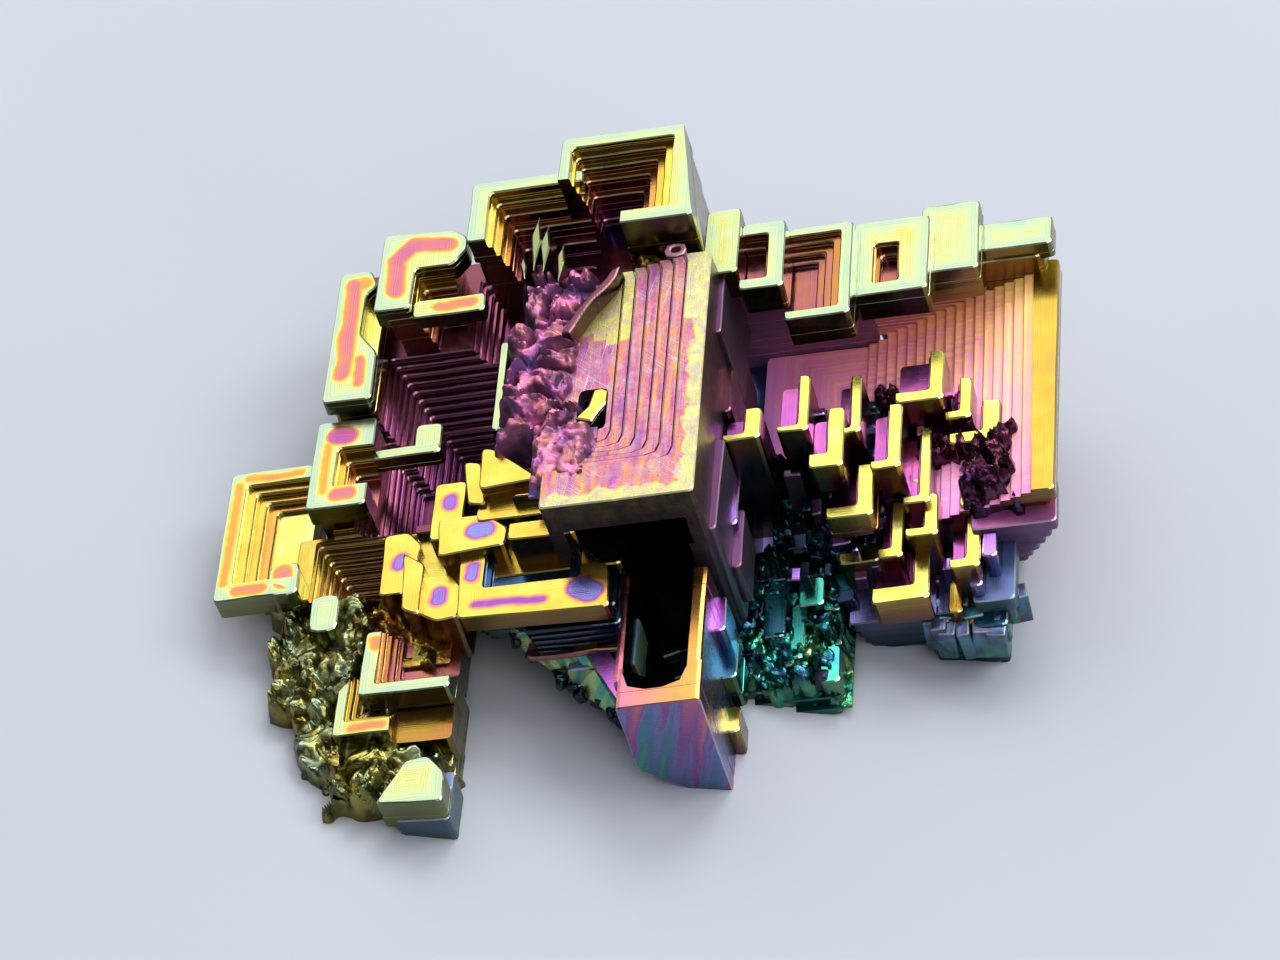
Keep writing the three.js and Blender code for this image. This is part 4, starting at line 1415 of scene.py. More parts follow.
@dataclass(frozen=True)
class Columns(Assembly):
    """Slender crystals in the right funnel, most of them one corner of a rim."""
    corners: tuple = (
        # area, top, foot, arm width, front arm
        ((9, 11.7, -15, -11.3), 7, 13, 0.8, 0.8),
        ((11.6, 13.1, -13.6, -10.6), 8, 13, 0.7, 0.6),
        ((11.8, 14.6, -12.2, -9.2), 8.5, 13, 1, 0.8),
        ((2.9, 4.7, -12.4, -8.3), 5, 14, 0.6, 0.4),
        ((6, 7.4, -12.9, -8.6), 6, 14, 0.6, 0.4),
        ((0.2, 2.3, -9.4, -7.1), 4, 14, 0.9, 0.5),
        ((4.7, 6.6, -10.1, -5.8), 5.5, 7.6, 0.9, 1),
        ((7.8, 9.5, -11.3, -6.6), 7, 14, 0.8, 0.6),
        ((9.3, 10.8, -10.7, -5.2), 8.5, 14, 0.6, 0.5),
        ((9.4, 11.2, -6.2, -3.2), 9, 14, 0.8, 0.6),
        ((5.3, 7.9, -7.5, -3.8), 7.5, 9.2, 0.9, 0.8),
        ((7.8, 9.2, -6.3, -2.3), 9.5, 14, 0.7, 0.7),
        ((7.3, 10.5, -4.5, 0), 10.5, 12.4, 0.9, 1.1),
        ((12.2, 14.5, -7, -5.4), 9.5, 14, 0.9, 0.8),
        ((11.6, 13.3, -6, -1.6), 10.2, 15, 0.8, 0.7),
        ((5.3, 7.6, -4.8, -3.6), 11, 14, 1.2, 0.8),
    )
    between: Crust = Crust((2.5, 13.5, -13.5, -2), (6, 8.2), 130, (0.25, 1.2),
                           (BLACK_AND_HOLLOW_SHADE, DUSK, BLACK_AND_HOLLOW_SHADE, LILAC), seed=8, depth=5, tilt=3, slope=(0.33, 0.3),
                           finish=Finish.FILM)
    bright: Crust = Crust((3, 14, -13, -2), (5.2, 7), 22, (0.3, 0.9), (LILAC, COLUMN, MAUVE),
                          seed=9, depth=6, tilt=2, slope=(0.33, 0.3), finish=Finish.FILM)
    # painted shade: dark growth between the columns, where shade falls
    shaded_band: tuple = (
        Growth((6.4, 10.6, -16.6, -12), 10.3, 13, DARK_SHADE, slope=(-0.33, 0), wave=1.3, relief=1.2),
        Growth((9, 13.4, -14, -8.4), 9.3, 12.4, DARK_SHADE, slope=(-0.33, 0), wave=1.3, relief=1.2),
        Growth((11.8, 15.8, -10.4, -4.6), 8.4, 11.6, DARK_SHADE, slope=(-0.3, 0), wave=1.3, relief=1.2),
    )

    def crystals(self) -> list[Crystal]:
        """One crystal for each corner.

        Returns:
            The crystals.
        """
        made = []
        for area, top, foot, arm, front in self.corners:
            pit = Funnel((area[0], area[1] - arm, area[2], area[3] - front), (0.5, 0.5), Sides(right=0.2),
                         "lb", COLUMN_INSIDE)
            made.append(Crystal(area, top, foot, COLUMN, funnels=(pit,)))
        return made + self.between.crystals() + self.bright.crystals() + list(self.shaded_band)


@dataclass(frozen=True)
class RightFoot(Assembly):
    """Lower terraces that carry the right funnel down, and small crystals beside the keel."""
    terraces: tuple = (
        # area, top, foot, coat, layers, flare
        ((-1, 13.5, -21, -4.2), 12.4, 14.8, BLUE_VIOLET),
        ((12.8, 17.5, -7.2, -4), 9.9, 14, FLOOR_END, 5, Sides(left=0.3, right=0.5, front=0.3)),
        ((12.6, 14.9, -9, -0.6), 12, 14, SLATE, 2, Sides(right=0.2, front=0.1)),
        ((13.4, 14.2, -5.4, -2.2), 10.2, 14, LILAC),
        ((12.6, 13.3, -3.2, -0.9), 11, 14, LILAC),
        ((11.2, 12, -2.6, -0.2), 12.2, 15, GOLD),
        ((12.4, 14.3, -1.6, 0.3), 13, 14.6, TEAL),
        ((9.6, 14, -8, -0.4), 13.6, 18, BLUE_VIOLET, 4, Sides(0.1, 0.1, 0.3)),
        ((5.6, 11.4, -8, -0.6), 12.6, 15.6, BLUE_VIOLET, 4, Sides(0.2, 0, 0.3, 0.2)),
        ((-2, 6, -6, -2.6), 12.4, 14.2, TEAL),
        ((-1.8, 5.3, -3.2, 3.2), 13, 14.6, TEAL, 3, Sides(right=0.1, front=-0.4)),
        ((2.5, 3.3, -2.2, 1.7), 12.2, 14, MINT_GLINT),
        ((1, 2.2, -3, 0.2), 12, 14, TEAL),
        ((-1.4, 0.9, 0, 2.7), 12.4, 14, TEAL),
        ((4.2, 5.3, 1, 3.5), 12.4, 14.4, MINT_GLINT),
        ((3, 4.4, -3.4, -1.4), 11.6, 14, MINT_GLINT),
    )
    teal_growth: Growth = Growth((-1.6, 5.6, -6.4, 3.8), 11.9, 14.2, TEAL, wave=1.3)
    dark_growth: Growth = Growth((0.4, 9.8, -13, -3.8), 10.6, 14, TEAL_DARK, wave=1.6)
    slate_crust: Crust = Crust((10.2, 14.6, -3.8, 0.4), (12.5, 13.4), 34, (0.5, 1.5),
                               (SLATE, BLUE_VIOLET, SLATE, BRONZE, TEAL), seed=10, depth=2.2, tilt=5)
    teal_crust: Crust = Crust((-0.6, 5.2, -5.5, 3), (11.6, 13), 40, (0.25, 0.9), (TEAL, MINT_GLINT, BLACK_AND_HOLLOW_SHADE),
                              seed=6)

    def crystals(self) -> list[Crystal]:
        """The terraces and the small crystals."""
        return [*(Crystal(*row) for row in self.terraces), self.teal_growth, self.dark_growth,
                *self.teal_crust.crystals(), *self.slate_crust.crystals()]


@dataclass(frozen=True)
class SideCrystals(Assembly):
    """Slender crystals on the right face of the middle crystal and of the keel."""
    bars: tuple = (
        # area, top, foot, coat
        ((-0.2, 0.3, -19.5, -13.6), 2, 8, DUSK),
        ((-0.2, 0.5, -13, -9.6), 4.2, 9, SHADE_BROWN),
        ((-0.2, 0.45, -6.9, -0.3), 3.5, 11, DUSK),
        ((0.3, 0.9, -4.8, -0.6), 7, 10, DUSK),
        ((0, 0.7, -8.8, -3.2), 6.4, 12.6, LILAC),
        ((-0.6, 0.1, 0.8, 3.2), 7.6, 12, LILAC),
        ((-0.6, 0.4, 2.4, 5), 9.4, 12, TEAL),
        ((-0.6, 0.2, 5.4, 7.2), 11.3, 14, COLUMN),
    )

    def crystals(self) -> list[Crystal]:
        """The slender crystals."""
        return [Crystal(*bar) for bar in self.bars]


@dataclass(frozen=True)
class RearFeet(Assembly):
    """Stepped stumps under the back, where the cluster rests."""
    stumps: tuple = (
        # area, top, foot, coat, layers, flare
        ((-14, -7, -20.5, -15), 9.8, 12.6, BLUE_VIOLET, 3, Sides(0.5, 0.5, 0.4, 0.4)),
        ((6, 13, -19.5, -13), 14.6, 18, BLUE_VIOLET, 3, Sides(0.6, 0.4, 0.5, 0.5)),
    )

    def crystals(self) -> list[Crystal]:
        """The two stumps."""
        return [Crystal(*stump) for stump in self.stumps]


@dataclass(frozen=True)
class Underside:
    """Shallow funnels cut upwards from the lower faces.

    Each step is narrower by `inset` a side and higher by `lift` than the one
    before, and its solid starts `below` mm under the face.
    """
    inset: float = 0.55
    lift: float = 0.35
    below: float = 3.0
    funnels: tuple = (
        # area, foot, steps
        ((-18, -14.6, -14, -5), 10.2, 3),
        ((-7.4, -1.2, -16.5, -10.4), 11.4, 4),
        ((1, 5.2, -18.5, -7), 14.8, 4),
        ((-21.6, -17.2, -0.8, 2.6), 8.4, 1),
    )

    def crystals(self) -> list[Crystal]:
        """One solid for each step of each funnel.

        Returns:
            The crystals.
        """
        made = []
        for (u0, u1, v0, v1), foot, count in self.funnels:
            for k in range(count):
                step = self.inset * k
                area = (u0 + step, u1 - step, v0 + step, v1 - step)
                made.append(Crystal(area, foot - self.lift * (k + 1), foot + self.below, DEEP_SHADE, ledges=1))
        return made


# ---- shader building

class Graph:
    """Wires the nodes of one material or one node group."""

    def __init__(self, tree: NodeTree) -> None:
        """Keeps the tree, and empties it."""
        self.tree = tree
        tree.nodes.clear()

    def node(self, kind: str, inputs: dict[str | int, Value] | None = None,
             **settings: object) -> Node:
        """Adds a node.

        Args:
            kind: the end of its type name, after ShaderNode.
            inputs: what goes into its sockets.
            settings: its properties.
        Returns:
            The node.
        """
        made = self.tree.nodes.new(f"ShaderNode{kind}")
        for name, value in settings.items():
            setattr(made, name, value)
        for name, value in (inputs or {}).items():
            self.feed(value, made.inputs[name])
        return made

    def feed(self, value: Value, socket: Socket) -> None:
        """Links a socket to an input, or sets the input's own value.

        Args:
            value: a socket, a number or a tuple of three numbers.
            socket: the input.
        """
        if isinstance(value, Socket):
            self.tree.links.new(value, socket)
        else:
            socket.default_value = (*value, 1.0) if socket.type == "RGBA" else value

    def math(self, operation: str, a: Value, b: Value = 0.0, clamp: bool = False) -> Socket:
        """The result of one Math node, kept between 0 and 1 if it is clamped."""
        made = self.node("Math", {0: a, 1: b}, operation=operation, use_clamp=clamp)
        return made.outputs[0]

    def total(self, *terms: Value) -> Socket:
        """The sum of several numbers."""
        return reduce(lambda a, b: self.math("ADD", a, b), terms)

    def times(self, *factors: Value) -> Socket:
        """The product of several numbers."""
        return reduce(lambda a, b: self.math("MULTIPLY", a, b), factors)

    def minus(self, a: Value, b: Value) -> Socket:
        """The first number less the second."""
        return self.math("SUBTRACT", a, b)

    def most(self, *values: Value) -> Socket:
        """The largest of several numbers."""
        return reduce(lambda a, b: self.math("MAXIMUM", a, b), values)

    def least(self, a: Value, b: Value) -> Socket:
        """The smaller of two numbers."""
        return self.math("MINIMUM", a, b)

    def vector(self, operation: str, a: Value, b: Value = (0.0, 0.0, 0.0), output: int = 0) -> Socket:
        """The result of one Vector Math node; output 1 is the one that is a number."""
        made = self.node("VectorMath", {0: a, 1: b}, operation=operation)
        return made.outputs[output]

    def scaled(self, vector: Value, by: Value) -> Socket:
        """A vector or a colour times a number."""
        return self.node("VectorMath", {0: vector, "Scale": by}, operation="SCALE").outputs[0]

    def parts(self, vector: Socket) -> tuple[Socket, Socket, Socket]:
        """The three numbers of a vector."""
        made = self.node("SeparateXYZ", {0: vector})
        return made.outputs[0], made.outputs[1], made.outputs[2]

    def ease(self, value: Value, low: float, high: float, to: Pair = (0.0, 1.0)) -> Socket:
        """A smooth step of a value from low to high, which goes between the two numbers of `to`."""
        made = self.node("MapRange", {0: value, 1: low, 2: high, 3: to[0], 4: to[1]},
                         interpolation_type="SMOOTHSTEP")
        return made.outputs[0]

    def noise(self, place: Value, scale: float, detail: float = 2.0, roughness: float = 0.5) -> Socket:
        """Noise in three dimensions, between 0 and 1, with its scale a millimetre."""
        made = self.node("TexNoise", {"Vector": place, "Scale": scale, "Detail": detail,
                                      "Roughness": roughness})
        return made.outputs[0]

    def line_noise(self, value: Socket, scale: float) -> Socket:
        """Noise along one number, between 0 and 1."""
        made = self.node("TexNoise", {"W": value, "Scale": scale, "Detail": 2.0}, noise_dimensions="1D")
        return made.outputs[0]

    def mix(self, factor: Value, a: Value, b: Value, blend: str = "MIX") -> Socket:
        """A mix of two colours, with the factor as the share of b."""
        made = self.node("Mix", {0: factor, 6: a, 7: b}, data_type="RGBA", blend_type=blend)
        return made.outputs[2]

    def ramp(self, factor: Socket, stops: tuple[tuple[float, Triple], ...]) -> Socket:
        """A colour ramp.

        Args:
            factor: where on the ramp.
            stops: places and colours.
        Returns:
            The colour.
        """
        made = self.node("ValToRGB", {0: factor})
        elements = made.color_ramp.elements
        while len(elements) < len(stops):
            elements.new(1.0)
        for element, (place, colour) in zip(elements, stops):
            element.position = place
            element.color = (*colour, 1.0)
        return made.outputs[0]

    def attribute(self, name: str, output: str = "Vector") -> Socket:
        """An attribute of the mesh, as a vector or, from the output Fac, as a number."""
        return self.node("Attribute", attribute_name=name).outputs[output]

    def group(self, tree: NodeTree, inputs: dict[str, Value] | None = None) -> Node:
        """A node that holds a node group, with what goes into it."""
        return self.node("Group", inputs, node_tree=tree)


def group_tree(name: str, inputs: dict[str, str], outputs: dict[str, str]) -> tuple[Graph, Socket, Socket]:
    """Starts a node group.

    Args:
        name: its name.
        inputs: socket names and kinds.
        outputs: socket names and kinds.
    Returns:
        Its graph, the outputs of its input node and the inputs of its output node.
    """
    tree = bpy.data.node_groups.new(name, "ShaderNodeTree")
    for names, side in ((inputs, "INPUT"), (outputs, "OUTPUT")):
        for socket, kind in names.items():
            tree.interface.new_socket(name=socket, in_out=side, socket_type=f"NodeSocket{kind}")
    graph = Graph(tree)
    start = tree.nodes.new("NodeGroupInput")
    end = tree.nodes.new("NodeGroupOutput")
    return graph, start.outputs, end.inputs


def lattice_group() -> NodeTree:
    """Where a point lies on the lattice in millimetres, and which way its face looks there.

    Place is the turn back of (object place - origin) / 0.001, and Facing is the
    turn back of the face's normal.

    Returns:
        The node group.
    """
    graph, _, out = group_tree("lattice", {}, {"Place": "Vector", "Facing": "Vector"})
    turn = tuple(Matrix(AXES).to_euler("XYZ"))
    coords = graph.node("TexCoord").outputs
    place = graph.node("Mapping", {0: coords["Object"], "Location": tuple(ORIGIN * MM),
                                   "Rotation": turn, "Scale": (MM, MM, MM)}, vector_type="TEXTURE")
    facing = graph.node("Mapping", {0: coords["Normal"], "Rotation": turn}, vector_type="TEXTURE")
    graph.feed(place.outputs[0], out["Place"])
    graph.feed(facing.outputs[0], out["Facing"])
    return graph.tree


RIM_WIDTH = (0.25, 1.1)      # from where to where inwards from the rim the film thickens, mm
LEAST_SHADE = 0.15           # the least that is left of a shade that gets darker downwards


def thickness_group() -> NodeTree:
    """The film's thickness from what the faces carry.

    Thickness is film + slope . place + inward * smoothstep(rim distance), where the
    rim distance is the least of the distances to the crystal's four sides. Shade is
    the coat's shade * (1 - d * depth below the crystal's top), with d the coat's
    painted shade for each millimetre down: painted shade that deepens into funnels
    and creases, and painted light where d is below 0.

    Returns:
        The node group.
    """
    numbers = ("Thickness", "Rim", "Edge", "Ripple", "Matte", "Shade")
    graph, given, out = group_tree("film thickness", {"Place": "Vector"}, dict.fromkeys(numbers, "Float"))
    place = given["Place"]
    base = graph.attribute("film", "Fac")
    slope = graph.vector("DOT_PRODUCT", graph.attribute("slope"), place, 1)
    high = graph.attribute("high")
    from_low = graph.parts(graph.vector("SUBTRACT", place, graph.attribute("low")))
    to_high = graph.parts(graph.vector("SUBTRACT", high, place))
    rim = graph.least(graph.least(from_low[0], from_low[1]), graph.least(to_high[0], to_high[1]))
    inward = graph.times(graph.ease(rim, *RIM_WIDTH), graph.parts(high)[2])
    state = graph.parts(graph.attribute("state"))
    graph.feed(graph.total(base, slope, inward), out["Thickness"])
    graph.feed(rim, out["Rim"])
    for value, name in zip(state, ("Edge", "Ripple", "Matte")):
        graph.feed(value, out[name])
    # painted shade: the coat's shade, darker for each millimetre down, lighter where that rate is below 0
    shade, painted_depth_shade, _ = graph.parts(graph.attribute("light"))
    lost = graph.times(painted_depth_shade, graph.most(from_low[2], 0.0))
    graph.feed(graph.times(shade, graph.most(graph.minus(1.0, lost), LEAST_SHADE)), out["Shade"])
    return graph.tree


FILM_STOPS = (
    (0.00, (0.52, 0.70, 0.52)), (0.09, (0.70, 0.80, 0.38)), (0.17, (0.82, 0.72, 0.14)),
    (0.25, (0.84, 0.52, 0.07)), (0.33, (0.82, 0.34, 0.10)), (0.41, (0.74, 0.23, 0.26)),
    (0.50, (0.56, 0.13, 0.36)), (0.58, (0.30, 0.09, 0.42)), (0.66, (0.26, 0.24, 0.62)),
    (0.74, (0.10, 0.24, 0.50)), (0.82, (0.04, 0.32, 0.36)), (0.90, (0.07, 0.48, 0.26)),
    (1.00, (0.42, 0.58, 0.18)),
)


def colour_group() -> NodeTree:
    """The colour of a film by its thickness: silver, gold, red, violet, blue, green.

    Returns:
        The node group.
    """
    graph, given, out = group_tree("film colour", {"Thickness": "Float"}, {"Colour": "Color"})
    graph.feed(graph.ramp(given["Thickness"], FILM_STOPS), out["Colour"])
    return graph.tree


LINE_BEND = 0.25                  # how far the broad noise bends the growth lines, mm
LINE_SCALE, FINE_SCALE = 3.0, 14.0    # scales of the growth lines, a millimetre


def lines_group() -> NodeTree:
    """Growth lines, which run level on a wall and along the rim on a top.

    Lines is noise along c, where c is w on a wall and the rim distance on a top,
    bent by a broad noise in three dimensions.

    Returns:
        The node group.
    """
    graph, given, out = group_tree("growth lines", {"Place": "Vector", "Rim": "Float", "Up": "Float",
                                                    "Bend": "Float"}, {"Lines": "Float", "Fine": "Float"})
    down = graph.parts(given["Place"])[2]
    along = graph.total(graph.times(down, graph.minus(1.0, given["Up"])),
                        graph.times(given["Rim"], given["Up"]), graph.times(given["Bend"], LINE_BEND))
    graph.feed(graph.line_noise(along, LINE_SCALE), out["Lines"])
    graph.feed(graph.line_noise(along, FINE_SCALE), out["Fine"])
    return graph.tree


POOL_EDGE = (-0.28, 0.12)         # from where to where inwards from its radius a pool fades in, mm


def pool_group() -> NodeTree:
    """A pool of thicker film, round the line from a to b on a crystal's top.

    The distance to the line is |p - a - s (b - a)|, s = (p - a).(b - a) / |b - a|^2
    kept between 0 and 1, and the film's extra falls to 0 round the radius.

    Returns:
        The node group.
    """
    graph, given, out = group_tree("film pool", {"Place": "Vector", "Start": "Vector", "End": "Vector"},
                                   {"Extra": "Float"})
    level = (1.0, 1.0, 0.0)
    radius, depth = graph.parts(given["Start"])[2], graph.parts(given["End"])[2]
    start = graph.vector("MULTIPLY", given["Start"], level)
    along = graph.vector("SUBTRACT", graph.vector("MULTIPLY", given["End"], level), start)
    offset = graph.vector("SUBTRACT", graph.vector("MULTIPLY", given["Place"], level), start)
    share = graph.math("DIVIDE", graph.vector("DOT_PRODUCT", offset, along, 1),
                       graph.vector("DOT_PRODUCT", along, along, 1), clamp=True)
    off_line = graph.vector("SUBTRACT", offset, graph.scaled(along, share))
    distance = graph.vector("LENGTH", off_line, output=1)
    mask = graph.ease(graph.minus(radius, distance), *POOL_EDGE)
    graph.feed(graph.times(mask, depth), out["Extra"])
    return graph.tree


# ---- finishes

@dataclass(frozen=True)
class Groups:
    """The node groups that the finishes share."""
    lattice: NodeTree
    thickness: NodeTree
    colour: NodeTree
    lines: NodeTree
    pool: NodeTree


@dataclass(frozen=True)
class Spot:
    """What a material knows of the spot that it colours, and its graph.

    `place` is where the spot is on the lattice, `drift` a broad noise there, in
    three numbers round 0, `up` is 1 on tops and 0 on walls, `fine` holds the fine
    growth lines, and `matte` is how far the face has lost its mirror.
    """
    graph: Graph
    place: Socket
    drift: Socket
    up: Socket
    fine: Socket
    matte: Socket


@dataclass(frozen=True)
class OxideFinish:
    """Bright bismuth under its film; the other finishes of the cluster build on it.

    `side_shade` is how bright a wall is beside a top, a painted shade on walls,
    `side_shift` how much thicker its film, and the wall shade share how much of
    the wall shade colour, a dark grey painted shade, it takes. The broad noise
    has the scale `drift_scale` and moves the film by `drift_gain`; the growth
    lines move it by `ripple` and shade it by `fine_shade`. A clean face has
    `roughness`, which changes by `cloud`, and `metallic`; a matte one adds
    `matte_rough`, has `matte_metal` and goes pale by `haze`. `wall_from` is how
    far up a face looks where a wall turns to a top. The bevels are screened with
    the bevel highlight colour, a painted highlight.
    """
    name: str = "bismuth film"
    side_shade: float = 0.42
    side_shift: float = 0.04
    drift_scale: float = 0.6
    drift_gain: float = 0.14
    roughness: float = 0.2
    cloud: float = 0.16
    matte_rough: float = 0.3
    metallic: float = 1.0
    matte_metal: float = 0.2
    ripple: float = 0.16
    bump: float = 0.05
    bump_height: float = 0.0002
    bevel_highlight_colour: Triple = (0.30, 0.32, 0.24)
    wall_shade_colour: Triple = (0.16, 0.16, 0.13)
    wall_shade_share: float = 0.3
    wall_from: Pair = (0.4, 0.8)
    haze_colour: Triple = (0.72, 0.52, 0.62)
    haze: float = 0.14
    fine_shade: Pair = (0.84, 1.08)

    def extra(self, spot: Spot) -> Socket:
        """How much thicker the film is than the faces say."""
        return spot.graph.times(spot.graph.parts(spot.drift)[0], self.drift_gain)

    def rough(self, spot: Spot) -> Socket:
        """How rough the face is: clouded, and more so where it is matte.

        Args:
            spot: what the material knows of the spot.
        Returns:
            The roughness.
        """
        graph = spot.graph
        cloud = graph.times(graph.noise(spot.place, 1.6, 1.0), self.cloud)
        return graph.total(self.roughness - 0.06, cloud, graph.times(spot.matte, self.matte_rough))

    def relief(self, spot: Spot) -> Socket:
        """The height that the Bump node reads: growth lines and a fine grain."""
        graph = spot.graph
        return graph.total(spot.fine, graph.times(graph.noise(spot.place, 4.0, 1.0), 0.4))

    def tint(self, spot: Spot, colour: Socket) -> Socket:
        """The film's colour, changed where a finish has more than a film."""
        return colour

    def pooled(self, spot: Spot, groups: Groups) -> Socket:
        """How much thicker the pools make the film, on tops.

        Args:
            spot: what the material knows of the spot.
            groups: the shared node groups.
        Returns:
            The extra thickness.
        """
        graph = spot.graph
        bent = graph.vector("ADD", spot.place, graph.vector("MULTIPLY", spot.drift, (0.5, 0.5, 0.5)))
        deepest = 0.0
        for k in range(POOLS_EACH):
            start, end = (graph.attribute(f"pool_{k + 1}{letter}") for letter in "ab")
            pool = graph.group(groups.pool, {"Place": bent, "Start": start, "End": end})
            deepest = graph.most(deepest, pool.outputs["Extra"])
        return graph.times(deepest, spot.up)

    def material(self, groups: Groups) -> Material:
        """Builds the material.

        Args:
            groups: the shared node groups.
        Returns:
            The material.
        """
        made = bpy.data.materials.new(self.name)
        made.use_nodes = True
        graph = Graph(made.node_tree)
        lattice = graph.group(groups.lattice).outputs
        place = lattice["Place"]
        up = graph.ease(graph.math("ABSOLUTE", graph.parts(lattice["Facing"])[2]), *self.wall_from)
        film = graph.group(groups.thickness, {"Place": place}).outputs
        broad = graph.node("TexNoise", {"Vector": place, "Scale": self.drift_scale, "Detail": 2.0})
        drift = graph.vector("SUBTRACT", broad.outputs[1], (0.5, 0.5, 0.5))
        lines = graph.group(groups.lines, {"Place": place, "Rim": film["Rim"], "Up": up,
                                           "Bend": graph.parts(drift)[2]}).outputs
        spot = Spot(graph, place, drift, up, lines["Fine"], film["Matte"])

        wall = graph.minus(1.0, up)
        swing = graph.times(graph.minus(lines["Lines"], 0.5), film["Ripple"], self.ripple)
        thickness = graph.total(film["Thickness"], swing, graph.times(wall, self.side_shift),
                                self.extra(spot), self.pooled(spot, groups))
        colour = graph.group(groups.colour, {"Thickness": thickness}).outputs["Colour"]
        hazed = graph.mix(graph.times(film["Matte"], self.haze), self.tint(spot, colour), self.haze_colour)

        # painted shade: walls darker beside tops, the fine growth lines, and the coat's painted shade and
        # light
        shade = graph.times(graph.ease(up, 0.0, 1.0, (self.side_shade, 1.0)),
                            graph.ease(lines["Fine"], 0.2, 0.8, self.fine_shade), film["Shade"])
        # painted shade: walls mixed towards the dark wall shade colour
        wall_shaded = graph.mix(graph.times(wall, self.wall_shade_share), graph.scaled(hazed, shade), self.wall_shade_colour)
        # painted highlight: bevels screened with the pale bevel highlight colour
        bevel_highlighted = graph.mix(1.0, wall_shaded, self.bevel_highlight_colour, "SCREEN")
        final = graph.mix(graph.math("MULTIPLY", film["Edge"], film["Shade"], clamp=True), wall_shaded, bevel_highlighted)
        bump = graph.node("Bump", {"Height": self.relief(spot), "Strength": self.bump,
                                   "Distance": self.bump_height})
        shader = graph.node("BsdfPrincipled", {
            "Base Color": final, "Roughness": self.rough(spot), "Normal": bump.outputs[0],
            "Metallic": graph.ease(film["Matte"], 0.0, 1.0, (self.metallic, self.matte_metal)),
        })
        graph.node("OutputMaterial", {"Surface": shader.outputs[0]})
        return made


